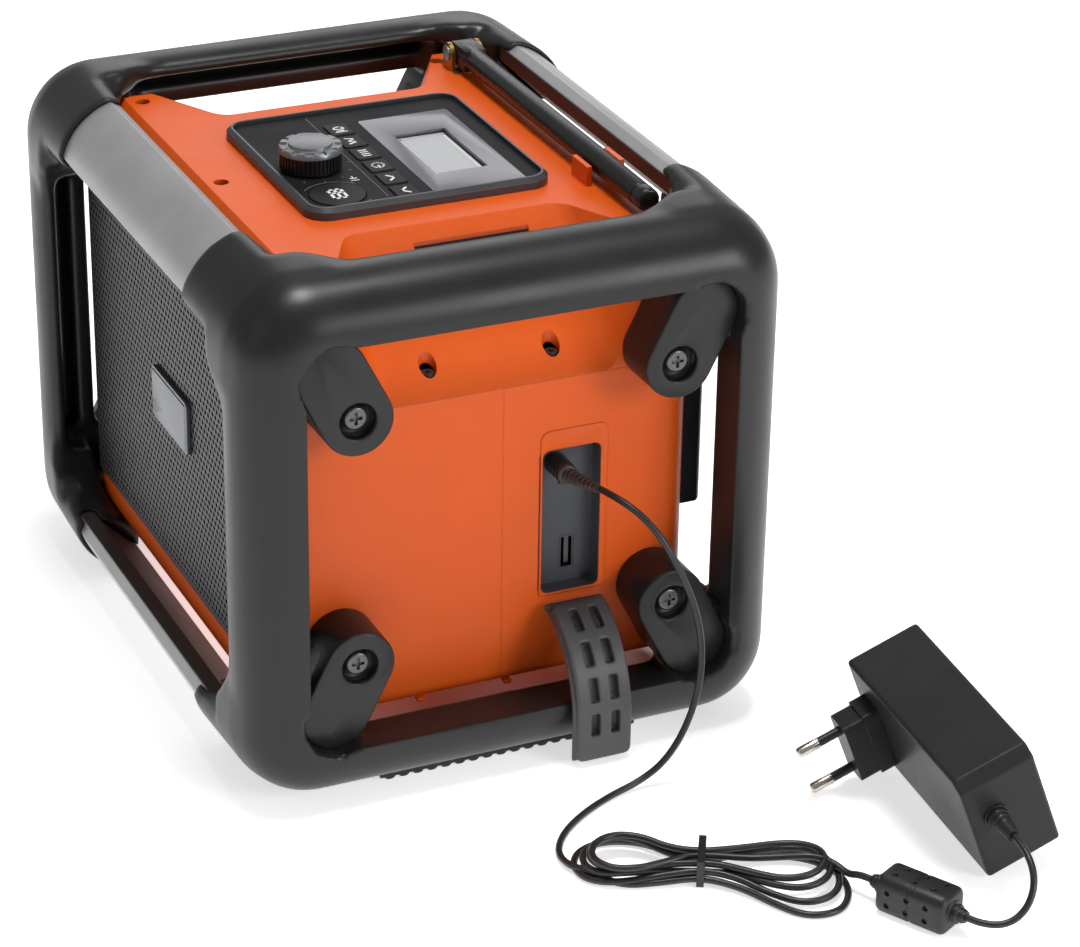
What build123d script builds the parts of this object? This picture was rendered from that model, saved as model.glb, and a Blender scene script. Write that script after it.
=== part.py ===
"""Jobsite radio: a speaker housing in a crash frame, with its plug-in power supply.

Millimetres. X runs from end frame to end frame, -Y is the speaker side, +Z is up.
The origin is the bottom centre of the crash frame.
"""
from build123d import *
import math
import os

# ---------------------------------------------------------------- crash frame
FRAME_LENGTH = 260.0          # X, over both end frames
FRAME_DEPTH = 210.0           # Y
FRAME_HEIGHT = 202.0          # Z
FRAME_CORNER = 30.0           # corner radius seen from the end
MEMBER = 24.0                 # width of an end frame's member
MEMBER_ROUND = 20.3           # the members' outer side is part of a round bar
MEMBER_STEP = 2.2             # how far it lies inside the corner sleeves
RING_DEPTH = 30.0             # X depth of the member's outer skin
LIP_DEPTH = 18.0              # X depth of the member's inner wall
SKIN = 7.0                    # from the member's crown to the channel
LIP = 7.0                     # inner wall thickness
WEB = 9.0                     # outboard thickness
OPENING_CORNER = 20.0
OPENING_EDGE = 3.5
SLEEVE_REACH = 33.0           # how far a corner sleeve reaches past the skin
SLEEVE_FILLET = 28.0
SLEEVE_RUNOUT = 22.0          # how far along a member a sleeve takes to rise to its own height
SLEEVE_LIP = 1.0              # sleeve wall over a rail's inner flat
SLEEVE_TAPER = 2.0            # degrees
SLEEVE_BEVEL_OUT = 2.0        # sleeve wall over a rail's bevel
FOOT_PITCH = 3.3
FOOT_RIB = 2.0
FOOT_END = 57.0               # from the frame's front and rear to the first rib

# ---------------------------------------------------------------- rails
RAIL_STEP = 2.0               # how far a rail lies inside the sleeve's outline
RAIL_RADIUS = 28.0
RAIL_ARC_START = 16.0         # degrees from the side
RAIL_FLAT = 3.8               # inner flat's place from the arc's centre
RAIL_NOTCH = 12.5             # where the sleeve's inner diagonal starts
RAIL_SLIM = 6.5               # how much further out the rail's own diagonal starts
RAIL_COVER = 3.0              # silver cover thickness
RAIL_TONGUE = 12.0            # length inside a sleeve
RAIL_FIT = 0.15

# ---------------------------------------------------------------- legs of the end frames
LEG_RADIUS = 13.0
LEG_LENGTH = 20.0
LEG_LEAN = 27.0               # degrees from upright
LEG_FACE = 6.0                # how far the leg's face lies inside the end
LEG_INSET_Y = 44.5            # leg screw from the frame's front and rear
LEG_INSET_Z = 53.5            # leg screw from the frame's top and bottom
LEG_COUNTERBORE = 6.7         # radius
LEG_COUNTERBORE_DEPTH = 5.0
LEG_SCREW = 2.5               # shank radius
LEG_SCREW_HEAD = 4.4
LEG_SCREW_HEAD_HEIGHT = 2.8
LEG_SCREW_LENGTH = 26.0
SCREW_FIT = 0.12

# ---------------------------------------------------------------- housing
BODY_END_INSET = 26.0         # end wall inside the crash frame's end
BODY_FRONT_INSET = 20.5       # -Y face inside the crash frame's front
BODY_REAR_INSET = 29.0        # +Y face inside the crash frame's rear
BODY_BOTTOM = 22.5
BODY_TOP_INSET = 12.5         # top below the crash frame's top
TOP_COVER_HEIGHT = 48.5
SPLIT_OFFSET = 6.25           # front and rear housings meet this far behind the middle
WALL = 3.0
FRONT_CORNER = 14.0
REAR_CORNER = 9.0
BOTTOM_EDGE = 5.0
FRONT_CHAMFER = 15.0          # top front edge
REAR_CHAMFER = 6.0
EAR_HEIGHT = 24.5             # the ends lean in over this height
EAR_LEAN = 9.0
SCOOP_LENGTH = 41.5           # from the end wall to the hand scoop's top edge
SCOOP_INSET_LOW = 39.5        # its side inside the front at the bottom
SCOOP_INSET_IN = 43.5         # and at the top's inner end
SCOOP_INSET_OUT = 26.5        # and at the top's outer end
SCOOP_FILLET = 9.0
SLIT_INSET = 36.2             # vent slit across the scoop, from the end wall
SLIT_Y = 5.0
SLIT_LENGTH = 44.0
FRAME_GAP = 1.6               # between housing and end frame

# ---------------------------------------------------------------- screws of the top cover
POST_INSET_X = 16.0
POST_INSET_FRONT = 20.5
POST_INSET_REAR = 19.0
POST_RADIUS = 4.8
DRIVER_BORE = 2.8
COVER_SCREW = 1.5
COVER_SCREW_HEAD = 2.6
COVER_SCREW_HEAD_HEIGHT = 2.2
COVER_SEAT = 9.0              # head seat above the seam
COVER_SCREW_LENGTH = 22.0
SLOPE_SCREW_INSET = 8.5
SLOPE_SCREW_Y = 23.5
SLOPE_SEAT = 5.0
MIDDLE_POST_HEIGHT = 8.0
POST_RIB = 4.0                # rib that ties a post to the end wall

# ---------------------------------------------------------------- speaker side
GRILLE_SHEET = 1.2
GRILLE_FOOT = 14.5            # housing's bottom to the sheet
GRILLE_HEAD = 16.5            # sheet to the housing's top
GRILLE_WRAP = 12.0            # how far it runs round the corner
BADGE_LENGTH = 38.0
BADGE_HEIGHT = 21.0
BADGE_THICK = 1.8
BADGE_X = 3.0
BADGE_DROP = 0.5              # badge below the sheet's middle
SPEAKER_LIFT = 10.25          # speaker above the front housing's middle
SPEAKER_HOLE = 33.0
SPEAKER_FLANGE = 38.0
SPEAKER_DEPTH = 30.0
SPEAKER_MAGNET = 22.0
SPEAKER_MAGNET_DEPTH = 13.0
SPEAKER_SHEET = 1.6

# ---------------------------------------------------------------- control unit
PANEL_X = 1.5                 # centre of the control unit
PANEL_OFFSET_Y = 3.25         # its centre behind the housing's middle
PANEL_LENGTH = 95.0
PANEL_SHARE = 94.0 / 160.5    # of the housing's depth
PANEL_CORNER = 9.0
BEZEL_BAND = 2.5
BEZEL_HEIGHT = 4.5
BEZEL_BEVEL = 1.6
PANEL_THICK = 3.2
PANEL_FIT = 0.15
PANEL_LEDGE = 1.5             # how far the panel rests on the top cover in front
PANEL_LEDGE_REAR = 4.0
PANEL_LEDGE_LEFT = 5.0
BUTTON_GAP = 0.25
BUTTON_PROUD = 0.5
BUTTON_TRAVEL = 0.8
BUTTON_FLANGE = 0.6
BUTTON_FLANGE_THICK = 1.5
KEY_COUNT = 6
KEY_PITCH = 12.9
KEY_FIRST_X = -24.3
KEY_SHARE = 8.0 / 94.0        # places across the unit are shares of its width
KEY_LENGTH = 10.8
KEY_WIDTH = 9.0
KEY_CORNER = 1.2
MODE_X = 34.5
MODE_SHARE = 31.5 / 94.0
MODE_RADIUS = 10.2
KNOB_X = 6.5
KNOB_SHARE = 31.0 / 94.0
KNOB_RADIUS = 12.0
KNOB_HEIGHT = 8.6
KNOB_FLUTES = 24
KNOB_FLUTE = 0.9
KNOB_DISH = 1.2
KNOB_RIM = 2.4
KNOB_TRAVEL = 0.5
KNOB_LIFT = 0.8
SHAFT_RADIUS = 3.0
SHAFT_FIT = 0.05
ENCODER_SIDE = 12.0
ENCODER_HEIGHT = 5.0
ENCODER_BUSH = 4.4
WINDOW_X = 7.8
WINDOW_SHARE = 19.5 / 94.0
WINDOW_LENGTH = 76.0
WINDOW_WIDTH = 36.0
WINDOW_THICK = 1.4
LCD_X = 8.2
LCD_DROP = 0.7                # LCD in front of the window's middle
LCD_LENGTH = 39.0
LCD_WIDTH = 19.0
LCD_THICK = 4.0
BOARD_DROP = 9.5              # board's top face below the panel's underside
BOARD_THICK = 1.6
BOARD_POST = 2.5
SWITCH_SIDE = 6.0

# ---------------------------------------------------------------- antenna
ANTENNA_INSET_Y = 12.0
ANTENNA_LIFT = 6.5
ANTENNA_PIVOT_INSET = 26.0
ANTENNA_TIP_INSET = 15.5
ANTENNA_RADIUS = 4.6
ANTENNA_TIP_RADIUS = 4.4
ANTENNA_GAP = 0.3
PIN_RADIUS = 2.0
PIN_FIT = 0.05
EAR_THICK = 1.6
BRACKET_LENGTH = 15.0
BRACKET_PLATE = 0.9
TAB_X = 46.0
TAB_LENGTH = 13.0
TAB_THICK = 2.0
TAB_HEIGHT = 7.5

# ---------------------------------------------------------------- socket recess and flap
PORT_INSET = 47.3             # recess's middle from the housing's rear
PORT_WIDTH = 22.8
PORT_BOTTOM = 56.0
PORT_DROP = 27.6              # its top below the seam
PORT_CORNER = 2.8
PORT_DEPTH = 7.0
PORT_WALL = 1.2
SOCKET_OFFSET = 3.7
SOCKET_DROP = 8.4             # below the recess's top
SOCKET_BORE = 3.1
SOCKET_SIDE = 11.0
SOCKET_DEPTH = 13.0
SOCKET_PIN = 1.0
USB_OFFSET = 1.8
USB_LIFT = 11.5               # above the recess's bottom
USB_LENGTH = 13.1
USB_WIDTH = 5.4
USB_DEPTH = 14.0
USB_SHEET = 0.5
JACK_OFFSET = 0.7
JACK_DROP = 16.4
JACK_SIDE = 2.6
FLAP_HINGE_OUT = 2.3          # hinge line outside the end wall
FLAP_HINGE_DROP = 2.0         # below the recess
FLAP_KNUCKLE = 2.0
FLAP_WIDTH = 22.6
FLAP_GAP = 0.5                # between the hanging flap and the end frame
FLAP_BEND = 32.0              # radius of its back
FLAP_BEND_END_Z = 20.0        # below this it hangs straight
FLAP_START = 75.0             # degrees above level where the band leaves the hinge
FLAP_BOTTOM = 1.8
FLAP_LID = 1.4
FLAP_PAD = 2.0
FLAP_PAD_INSET = 2.6
FLAP_SLOT = 2.6
FLAP_SLOT_DEPTH = 1.4
FLAP_SLOT_LENGTH = 6.5
FLAP_SLOT_ROWS = 4
FLAP_SLOT_PITCH = 10.3

# ---------------------------------------------------------------- rear module
REAR_INSET_X = 7.0
REAR_HEIGHT = 60.0
REAR_DROP = 3.0               # rear module's top below the seam
REAR_PROUD = 8.5
REAR_EDGE = 2.5
DOOR_LENGTH = 122.0
DOOR_INSET_Z = 6.5
DOOR_THICK = 5.0
DOOR_GAP = 0.35
DOOR_PIN = 1.2
BATTERY_LENGTH = 110.0
BATTERY_DEPTH = 40.0
BATTERY_HEIGHT = 41.0
SHELF_THICK = 2.5
MAIN_BOARD_LENGTH = 110.0
MAIN_BOARD_DEPTH = 50.0
MAIN_BOARD_LIFT = 7.0
MAIN_BOARD_GAP = 8.0          # behind the housings' joint
BOARD_POST_INSET = 6.0
BOARD_POST_RADIUS = 3.5
CHIP_LEFT = 20.0
CHIP_RIGHT = 10.0
CHIP_HALF = 12.0
CHIP_HEIGHT = 8.0

# ---------------------------------------------------------------- power supply lead
CORD_RADIUS = 1.25
PLUG_BODY_RADIUS = 4.6
PLUG_BODY_LENGTH = 12.0
RELIEF_LENGTH = 15.0
RELIEF_ROOT = 3.4
RELIEF_TIP = 1.8
HANK_HEIGHT = 8.0
HANK_X = 85.5                 # hank's waist outside the crash frame's end
HANK_Y = 28.5
HANK_TURN = 61.0
HANK_NECK = (46.0, 15.0, 7.6)
HANK_LIFT = 4.2
LOBE_LEFT = (-12.0, -25.5, 45.0, 29.0, 56.0)     # from the waist; length, width and turn
LOBE_RIGHT = (18.0, 26.5, 50.0, 36.0, 50.0)
TIE_THICK = 1.2
TIE_WIDTH = 2.6
FERRITE_LENGTH = 27.0
FERRITE_SIDE = 14.8
FERRITE_CORNER = 3.5
FERRITE_SLEEVE_IN = 5.0
FERRITE_SLEEVE_OUT = 5.0
FERRITE_X = 121.5             # its near end outside the crash frame's end
FERRITE_Y = 75.5
FERRITE_Z = 7.4

# ---------------------------------------------------------------- plug-in power supply
ADAPTER_LENGTH = 84.5
ADAPTER_THICK = 29.0
ADAPTER_HEIGHT = 44.5
ADAPTER_EDGE = 1.5
ADAPTER_BEVEL = 4.0
ADAPTER_TILT = 22.0           # leaning on its pins
ADAPTER_ROLL = 3.4
ADAPTER_TURN = -2.0
ADAPTER_X = 43.4              # its lower corner at the plug end, outside the crash frame
ADAPTER_Y = 121.2
ADAPTER_Z = 5.7
MAINS_X = 12.0
MAINS_Z = 18.5
MAINS_ROOT = (13.0, 28.0, 6.0)
MAINS_BODY = (12.0, 26.0, 8.0)
MAINS_PIN = 2.0
MAINS_PIN_LENGTH = 17.5
MAINS_PIN_SPACING = 18.0
ADAPTER_RELIEF_Y = 9.5
ADAPTER_RELIEF_Z = 25.0
ADAPTER_RELIEF_LENGTH = 13.0

MID_Z = FRAME_HEIGHT / 2
END_X = FRAME_LENGTH / 2
BODY_X = END_X - BODY_END_INSET
BODY_LENGTH = 2 * BODY_X
BODY_FRONT = FRAME_DEPTH / 2 - BODY_FRONT_INSET
BODY_REAR = FRAME_DEPTH / 2 - BODY_REAR_INSET
BODY_TOP = FRAME_HEIGHT - BODY_TOP_INSET
BODY_MIDDLE = (BODY_REAR - BODY_FRONT) / 2
SEAM_Z = BODY_TOP - TOP_COVER_HEIGHT
SPLIT_Y = BODY_MIDDLE + SPLIT_OFFSET
EAR_BREAK_Z = BODY_TOP - EAR_HEIGHT
FOOT_RUN = FRAME_DEPTH - 2 * FOOT_END
LEG_SPACING_Y = FRAME_DEPTH - 2 * LEG_INSET_Y
LEG_SPACING_Z = FRAME_HEIGHT - 2 * LEG_INSET_Z
SCOOP_EDGE_X = BODY_X - SCOOP_LENGTH
SCOOP_OUT_X = BODY_X - EAR_LEAN
SCOOP_HALF_LOW = BODY_FRONT - SCOOP_INSET_LOW
SCOOP_HALF_IN = BODY_FRONT - SCOOP_INSET_IN
SCOOP_HALF_OUT = BODY_FRONT - SCOOP_INSET_OUT
SLIT_X = BODY_X - SLIT_INSET
POST_X = BODY_X - POST_INSET_X
FRONT_POST_Y = POST_INSET_FRONT - BODY_FRONT
REAR_POST_Y = BODY_REAR - POST_INSET_REAR
SLOPE_SCREW_X = BODY_X - SLOPE_SCREW_INSET
GRILLE_BOTTOM = BODY_BOTTOM + GRILLE_FOOT
GRILLE_TOP = BODY_TOP - GRILLE_HEAD
BADGE_Z = (GRILLE_BOTTOM + GRILLE_TOP) / 2 - BADGE_DROP
SPEAKER_Z = (BODY_BOTTOM + SEAM_Z) / 2 + SPEAKER_LIFT
PANEL_Y = BODY_MIDDLE + PANEL_OFFSET_Y
PANEL_WIDTH = PANEL_SHARE * (BODY_FRONT + BODY_REAR)
KEY_Y = PANEL_Y - KEY_SHARE * PANEL_WIDTH
MODE_Y = PANEL_Y - MODE_SHARE * PANEL_WIDTH
KNOB_Y = PANEL_Y - KNOB_SHARE * PANEL_WIDTH
WINDOW_Y = PANEL_Y + WINDOW_SHARE * PANEL_WIDTH
LCD_Y = WINDOW_Y - LCD_DROP
PORT_Y = BODY_REAR - PORT_INSET
PORT_HEIGHT = SEAM_Z - PORT_DROP - PORT_BOTTOM
PORT_Z = PORT_BOTTOM + PORT_HEIGHT / 2
SOCKET_Y = PORT_Y - SOCKET_OFFSET
SOCKET_Z = PORT_BOTTOM + PORT_HEIGHT - SOCKET_DROP
USB_Y = PORT_Y + USB_OFFSET
USB_Z = PORT_BOTTOM + USB_LIFT
JACK_Y = PORT_Y - JACK_OFFSET
JACK_Z = PORT_BOTTOM + PORT_HEIGHT - JACK_DROP
FLAP_HINGE_Z = PORT_BOTTOM - FLAP_HINGE_DROP
ANTENNA_Y = BODY_REAR - ANTENNA_INSET_Y
ANTENNA_Z = BODY_TOP + ANTENNA_LIFT
ANTENNA_PIVOT_X = ANTENNA_PIVOT_INSET - BODY_X
ANTENNA_TIP_X = BODY_X - ANTENNA_TIP_INSET
REAR_LENGTH = BODY_LENGTH - 2 * REAR_INSET_X
REAR_TOP = SEAM_Z - REAR_DROP
REAR_BOTTOM = REAR_TOP - REAR_HEIGHT
DOOR_BOTTOM = REAR_BOTTOM + DOOR_INSET_Z
DOOR_TOP = REAR_TOP - DOOR_INSET_Z
OPEN_Y = FRAME_DEPTH / 2 - MEMBER
OPEN_Z = FRAME_HEIGHT / 2 - MEMBER
SKIN_X = END_X - RING_DEPTH
SLEEVE_X = SKIN_X - SLEEVE_REACH
PANEL_TOP = BODY_TOP + PANEL_THICK
BOARD_TOP = BODY_TOP - BOARD_DROP
RING_Y = FRAME_DEPTH / 2 - MEMBER_STEP
RING_Z = FRAME_HEIGHT / 2 - MEMBER_STEP
FAR = 400.0                   # longer than anything it cuts

PARTS = {}


def add(name, *solids):
    """Keep the solids of one node."""
    PARTS[name] = solids[0] if len(solids) == 1 else Compound(children=list(solids))


def bar(x0, x1, y0, y1, z0, z1):
    """A box between two corners."""
    size = Box(abs(x1 - x0), abs(y1 - y0), abs(z1 - z0))
    return Pos((x0 + x1) / 2, (y0 + y1) / 2, (z0 + z1) / 2) * size


def rod_x(radius, x0, x1, y, z):
    """A cylinder along X."""
    return Pos((x0 + x1) / 2, y, z) * Rot(0, 90, 0) * Cylinder(radius, abs(x1 - x0))


def rod_y(radius, x, y0, y1, z):
    """A cylinder along Y."""
    return Pos(x, (y0 + y1) / 2, z) * Rot(90, 0, 0) * Cylinder(radius, abs(y1 - y0))


def rod_z(radius, x, y, z0, z1):
    """A cylinder along Z."""
    return Pos(x, y, (z0 + z1) / 2) * Cylinder(radius, abs(z1 - z0))


def both_ends(solid):
    """The solid and its mirror image at the other end."""
    return solid, mirror(solid, about=Plane.YZ)


# ---------------------------------------------------------------- rails and sleeves
ARC_Y = FRAME_DEPTH / 2 - RAIL_STEP - RAIL_RADIUS
ARC_Z = FRAME_HEIGHT / 2 - RAIL_STEP - RAIL_RADIUS


def rail_profile(grow, inner):
    """Quarter-round outline in the front top corner, grown all round; inner adds to its notch."""
    r = RAIL_RADIUS + grow
    a = math.radians(RAIL_ARC_START)
    low = (r * math.cos(a), r * math.sin(a))
    high = (low[1], low[0])
    middle = (r * math.sqrt(0.5), r * math.sqrt(0.5))
    flat = RAIL_FLAT - inner
    strip = low[0] - 2.4
    notch = RAIL_NOTCH + RAIL_SLIM - inner
    outline = [
        ThreePointArc(low, middle, high),
        Polyline(high, (flat, strip), (flat, notch), (notch, flat), (strip, flat), low),
    ]
    return make_face(Curve() + outline)


def in_corner(face):
    """Put a profile drawn from the rail's arc centre into the front top corner, seen along X."""
    return Plane(origin=(0, -ARC_Y, MID_Z + ARC_Z), x_dir=(0, -1, 0), z_dir=(-1, 0, 0)) * face


def corner_copies(solid):
    """The four corner copies of a solid made for the front top corner, by name."""
    middle = Plane.XY.offset(MID_Z)
    low = mirror(solid, about=middle)
    return {
        "front_top": solid,
        "front_bottom": low,
        "rear_top": mirror(solid, about=Plane.XZ),
        "rear_bottom": mirror(low, about=Plane.XZ),
    }


rail_half = SLEEVE_X + RAIL_TONGUE
rail_blank = extrude(in_corner(rail_profile(0, 0)), rail_half, both=True)
core_cut = extrude(in_corner(rail_profile(-RAIL_COVER, 0)), rail_half, both=True)
cover_blank = extrude(
    in_corner(Circle(RAIL_RADIUS + 1) - Circle(RAIL_RADIUS - RAIL_COVER)), rail_half, both=True
)
rail_cover = rail_blank & cover_blank
rail_core = rail_blank - cover_blank
for place, solid in corner_copies(rail_cover).items():
    add("rail_cover_" + place, solid)
for place, solid in corner_copies(rail_core).items():
    add("rail_core_" + place, solid)


# ---------------------------------------------------------------- end frames
def ring_outline(inset):
    """The end frame's outline, seen along X."""
    size = (FRAME_DEPTH - 2 * inset, FRAME_HEIGHT - 2 * inset)
    return Pos(0, MID_Z) * RectangleRounded(*size, FRAME_CORNER - inset)


def leg_axis(side, up):
    """Sketch of one leg, a slot from its screw out to the frame's corner."""
    lean = math.radians(LEG_LEAN)
    y = LEG_SPACING_Y / 2 + LEG_LENGTH / 2 * math.sin(lean)
    z = LEG_SPACING_Z / 2 + LEG_LENGTH / 2 * math.cos(lean)
    slot = SlotCenterToCenter(LEG_LENGTH, 2 * LEG_RADIUS)
    return Pos(side * y, MID_Z + up * z) * Rot(0, 0, side * up * (90 - LEG_LEAN)) * slot


def body_clearance():
    """What an end frame leaves free for the housing's corners."""
    reach_y = BODY_FRONT + FRAME_GAP
    reach_z = BODY_TOP - MID_Z + FRAME_GAP
    corner_sum = ARC_Y + ARC_Z + RAIL_FLAT + RAIL_NOTCH - 2.0
    points = [
        (-reach_y, corner_sum - reach_y), (reach_z - corner_sum, reach_z),
        (corner_sum - reach_z, reach_z), (reach_y, corner_sum - reach_y),
        (reach_y, reach_y - corner_sum), (corner_sum - reach_z, -reach_z),
        (reach_z - corner_sum, -reach_z), (-reach_y, reach_y - corner_sum),
    ]
    face = Pos(0, MID_Z) * Polygon(*points, align=None)
    return extrude(Plane.YZ * face, BODY_X + FRAME_GAP, both=True)


def sleeve_windows():
    """What is taken from between the corner sleeves, over the members and beside the posts."""
    inner_y = ARC_Y + RAIL_FLAT - SLEEVE_LIP
    inner_z = ARC_Z + RAIL_FLAT - SLEEVE_LIP
    start = SLEEVE_X - 1
    over = bar(start, SKIN_X, -inner_y, inner_y, -FAR, FAR)
    over = fillet(over.edges().filter_by(Axis.Z).group_by(Axis.X)[-1], SLEEVE_FILLET)
    beside = bar(start, SKIN_X, -FAR, FAR, MID_Z - inner_z, MID_Z + inner_z)
    beside = fillet(beside.edges().filter_by(Axis.Y).group_by(Axis.X)[-1], SLEEVE_FILLET)
    return over, beside


def sleeve_bevels():
    """The bevels that carry a rail's two bevels on over its sleeve."""
    a = math.radians(RAIL_ARC_START)
    out = (RAIL_RADIUS * math.cos(a), RAIL_RADIUS * math.sin(a))
    inn = (out[0] - 2.4, RAIL_FLAT)
    along = Vector(out[0] - inn[0], out[1] - inn[1]).normalized()
    away = Vector(along.Y, -along.X) * SLEEVE_BEVEL_OUT
    foot = Vector(*inn) + away - along * 8
    head = Vector(*out) + away + along * 8
    points = [
        (foot.X, foot.Y), (head.X, head.Y), (head.X + 20, head.Y), (head.X + 20, foot.Y - 20),
        (foot.X, foot.Y - 20),
    ]
    flipped = [(y, x) for x, y in points]
    reach = SKIN_X - SLEEVE_FILLET * 0.3
    wedges = []
    for outline in (points, flipped):
        face = in_corner(Polygon(*outline, align=None))
        wedges.append(extrude(face, reach, both=True) & bar(0, reach, -FAR, FAR, -FAR, FAR))
    return [copy for wedge in wedges for copy in corner_copies(wedge).values()]


def member_channels():
    """The hollow side of the four members, between their outer skin and inner wall."""
    wall_x = END_X - LIP_DEPTH
    floor_x = END_X - WEB
    skin_y = RING_Y - SKIN
    skin_z = RING_Z - SKIN
    run_y = OPEN_Y - 17
    run_z = OPEN_Z - 19
    over = bar(SLEEVE_X, wall_x, -run_y, run_y, MID_Z - skin_z, MID_Z + skin_z)
    over = fillet(over.edges().filter_by(Axis.Z).group_by(Axis.X)[-1], 10)
    beside = bar(SLEEVE_X, wall_x, -skin_y, skin_y, MID_Z - run_z, MID_Z + run_z)
    beside = fillet(beside.edges().filter_by(Axis.Y).group_by(Axis.X)[-1], 10)
    cuts = [over, beside]
    for side in (-1, 1):
        low, high = MID_Z + side * (OPEN_Z + LIP), MID_Z + side * skin_z
        cuts.append(bar(wall_x - 1, floor_x, -run_y + 4, run_y - 4, low, high))
        low, high = side * (OPEN_Y + LIP), side * skin_y
        cuts.append(bar(wall_x - 1, floor_x, low, high, MID_Z - run_z + 4, MID_Z + run_z - 4))
    return cuts


def foot_ribs():
    """Anti-slip ribs across the underside, level with the sleeves."""
    count = int(FOOT_RUN / FOOT_PITCH)
    first = -FOOT_PITCH * (count - 1) / 2
    crown_x = END_X - MEMBER_ROUND
    rib = Pos(crown_x, 0, MEMBER_STEP / 2 + 0.5) * Box(14, FOOT_RIB, MEMBER_STEP + 1)
    return [Pos(0, first + i * FOOT_PITCH, 0) * rib for i in range(count)]


def make_ring():
    """The closed frame of members, rounded outside, without its channels."""
    depth = 2 * MEMBER_ROUND
    blank = extrude(Plane.YZ.offset(END_X - depth) * ring_outline(MEMBER_STEP), depth)
    ends = blank.faces().sort_by(Axis.X)
    blank = fillet(ends[0].edges() + ends[-1].edges(), MEMBER_ROUND - 0.1)
    return blank & bar(SKIN_X, END_X, -FAR, FAR, -FAR, FAR)


def runout(half, crown):
    """Cutter over one member, seen along X, that lets both its sleeves rise from the member."""
    dip = MEMBER_ROUND - math.sqrt(MEMBER_ROUND**2 - (RING_DEPTH - MEMBER_ROUND) ** 2)
    low, high = crown - dip, crown + MEMBER_STEP
    wide = half + 2 * SLEEVE_RUNOUT
    points = [(-half, low), (half, low), (wide, 2 * high - low), (-wide, 2 * high - low)]
    return extrude(Plane.YZ.offset(SLEEVE_X - 1) * Polygon(*points, align=None), FAR)


def make_sleeves():
    """The four corner sleeves with their run-outs into the members."""
    depth = END_X - MEMBER_ROUND - SLEEVE_X
    block = extrude(Plane.YZ.offset(SLEEVE_X) * ring_outline(0), depth, taper=SLEEVE_TAPER)
    for cutter in (*sleeve_windows(), *sleeve_bevels()):
        block -= cutter
    inner_y = ARC_Y + RAIL_FLAT - SLEEVE_LIP - SLEEVE_FILLET
    inner_z = ARC_Z + RAIL_FLAT - SLEEVE_LIP - SLEEVE_FILLET
    over, beside = runout(inner_y, RING_Z), runout(inner_z, RING_Y)
    for turn in (0, 180):
        block -= Pos(0, 0, MID_Z) * Rot(turn, 0, 0) * over
        block -= Pos(0, 0, MID_Z) * Rot(turn + 90, 0, 0) * beside
    return block


def make_end_frame():
    """One moulding: ring, corner sleeves and four legs."""
    hole = Pos(0, MID_Z) * RectangleRounded(2 * OPEN_Y, 2 * OPEN_Z, OPENING_CORNER)
    ring = make_ring() + make_sleeves()
    ring -= extrude(Plane.YZ.offset(SLEEVE_X - 1) * hole, FAR)
    for cutter in (*member_channels(), body_clearance()):
        ring -= cutter
    for rib in foot_ribs():
        ring += rib
    face_x = END_X - LEG_FACE
    for side in (-1, 1):
        for up in (-1, 1):
            slot = leg_axis(side, up)
            ring -= extrude(Plane.YZ.offset(face_x) * slot, LEG_FACE + 1)
            leg = extrude(Plane.YZ.offset(BODY_X) * slot, face_x - BODY_X)
            relief = BODY_X + FRAME_GAP
            leg -= bar(0, relief, side * (BODY_FRONT - FRONT_CORNER), side * FAR, 0, FAR)
            ring += leg
    sockets = corner_copies(
        extrude(in_corner(rail_profile(RAIL_FIT, RAIL_FIT)), rail_half + 1, both=True)
    )
    for socket in sockets.values():
        ring -= socket
    for side in (-1, 1):
        for up in (-1, 1):
            y = side * LEG_SPACING_Y / 2
            z = MID_Z + up * LEG_SPACING_Z / 2
            ring -= rod_x(LEG_COUNTERBORE, face_x - LEG_COUNTERBORE_DEPTH, face_x + 1, y, z)
            ring -= rod_x(LEG_SCREW + SCREW_FIT, BODY_X - 1, face_x, y, z)
    return ring


right_frame, left_frame = both_ends(make_end_frame())
add("end_frame_right", right_frame)
add("end_frame_left", left_frame)

LEG_SEAT_X = END_X - LEG_FACE - LEG_COUNTERBORE_DEPTH


def make_leg_screw(y, z):
    """Pan head screw with a cross slot, along X."""
    tip_x = LEG_SEAT_X - LEG_SCREW_LENGTH
    head = rod_x(LEG_SCREW_HEAD, LEG_SEAT_X, LEG_SEAT_X + LEG_SCREW_HEAD_HEIGHT, y, z)
    head = fillet(head.edges().sort_by(Axis.X)[-1], 1.1)
    slot_x = LEG_SEAT_X + LEG_SCREW_HEAD_HEIGHT
    for width, height in ((4.6, 1.1), (1.1, 4.6)):
        head -= Pos(slot_x, y, z) * Box(2.4, width, height)
    return head + rod_x(LEG_SCREW, tip_x, LEG_SEAT_X, y, z)


leg_places = [
    (side * LEG_SPACING_Y / 2, MID_Z + up * LEG_SPACING_Z / 2)
    for side in (-1, 1) for up in (-1, 1)
]
leg_screws = [make_leg_screw(y, z) for y, z in leg_places]
add("frame_screws_right", *leg_screws)
add("frame_screws_left", *[mirror(screw, about=Plane.YZ) for screw in leg_screws])


# ---------------------------------------------------------------- housings
def plan(inset):
    """The housing's outline seen from above."""
    depth = BODY_FRONT + BODY_REAR
    face = Pos(0, (BODY_REAR - BODY_FRONT) / 2) * Rectangle(
        BODY_LENGTH - 2 * inset, depth - 2 * inset
    )
    rows = face.vertices().group_by(Axis.Y)
    face = fillet(rows[0], FRONT_CORNER - inset)
    return fillet(face.vertices().group_by(Axis.Y)[-1], REAR_CORNER - inset)


def lower_blank(inset):
    """The housings' block below the seam."""
    bottom = BODY_BOTTOM + inset
    block = extrude(Plane.XY.offset(bottom) * plan(inset), SEAM_Z - bottom)
    return fillet(block.faces().sort_by(Axis.Z)[0].edges(), BOTTOM_EDGE - inset)


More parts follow.
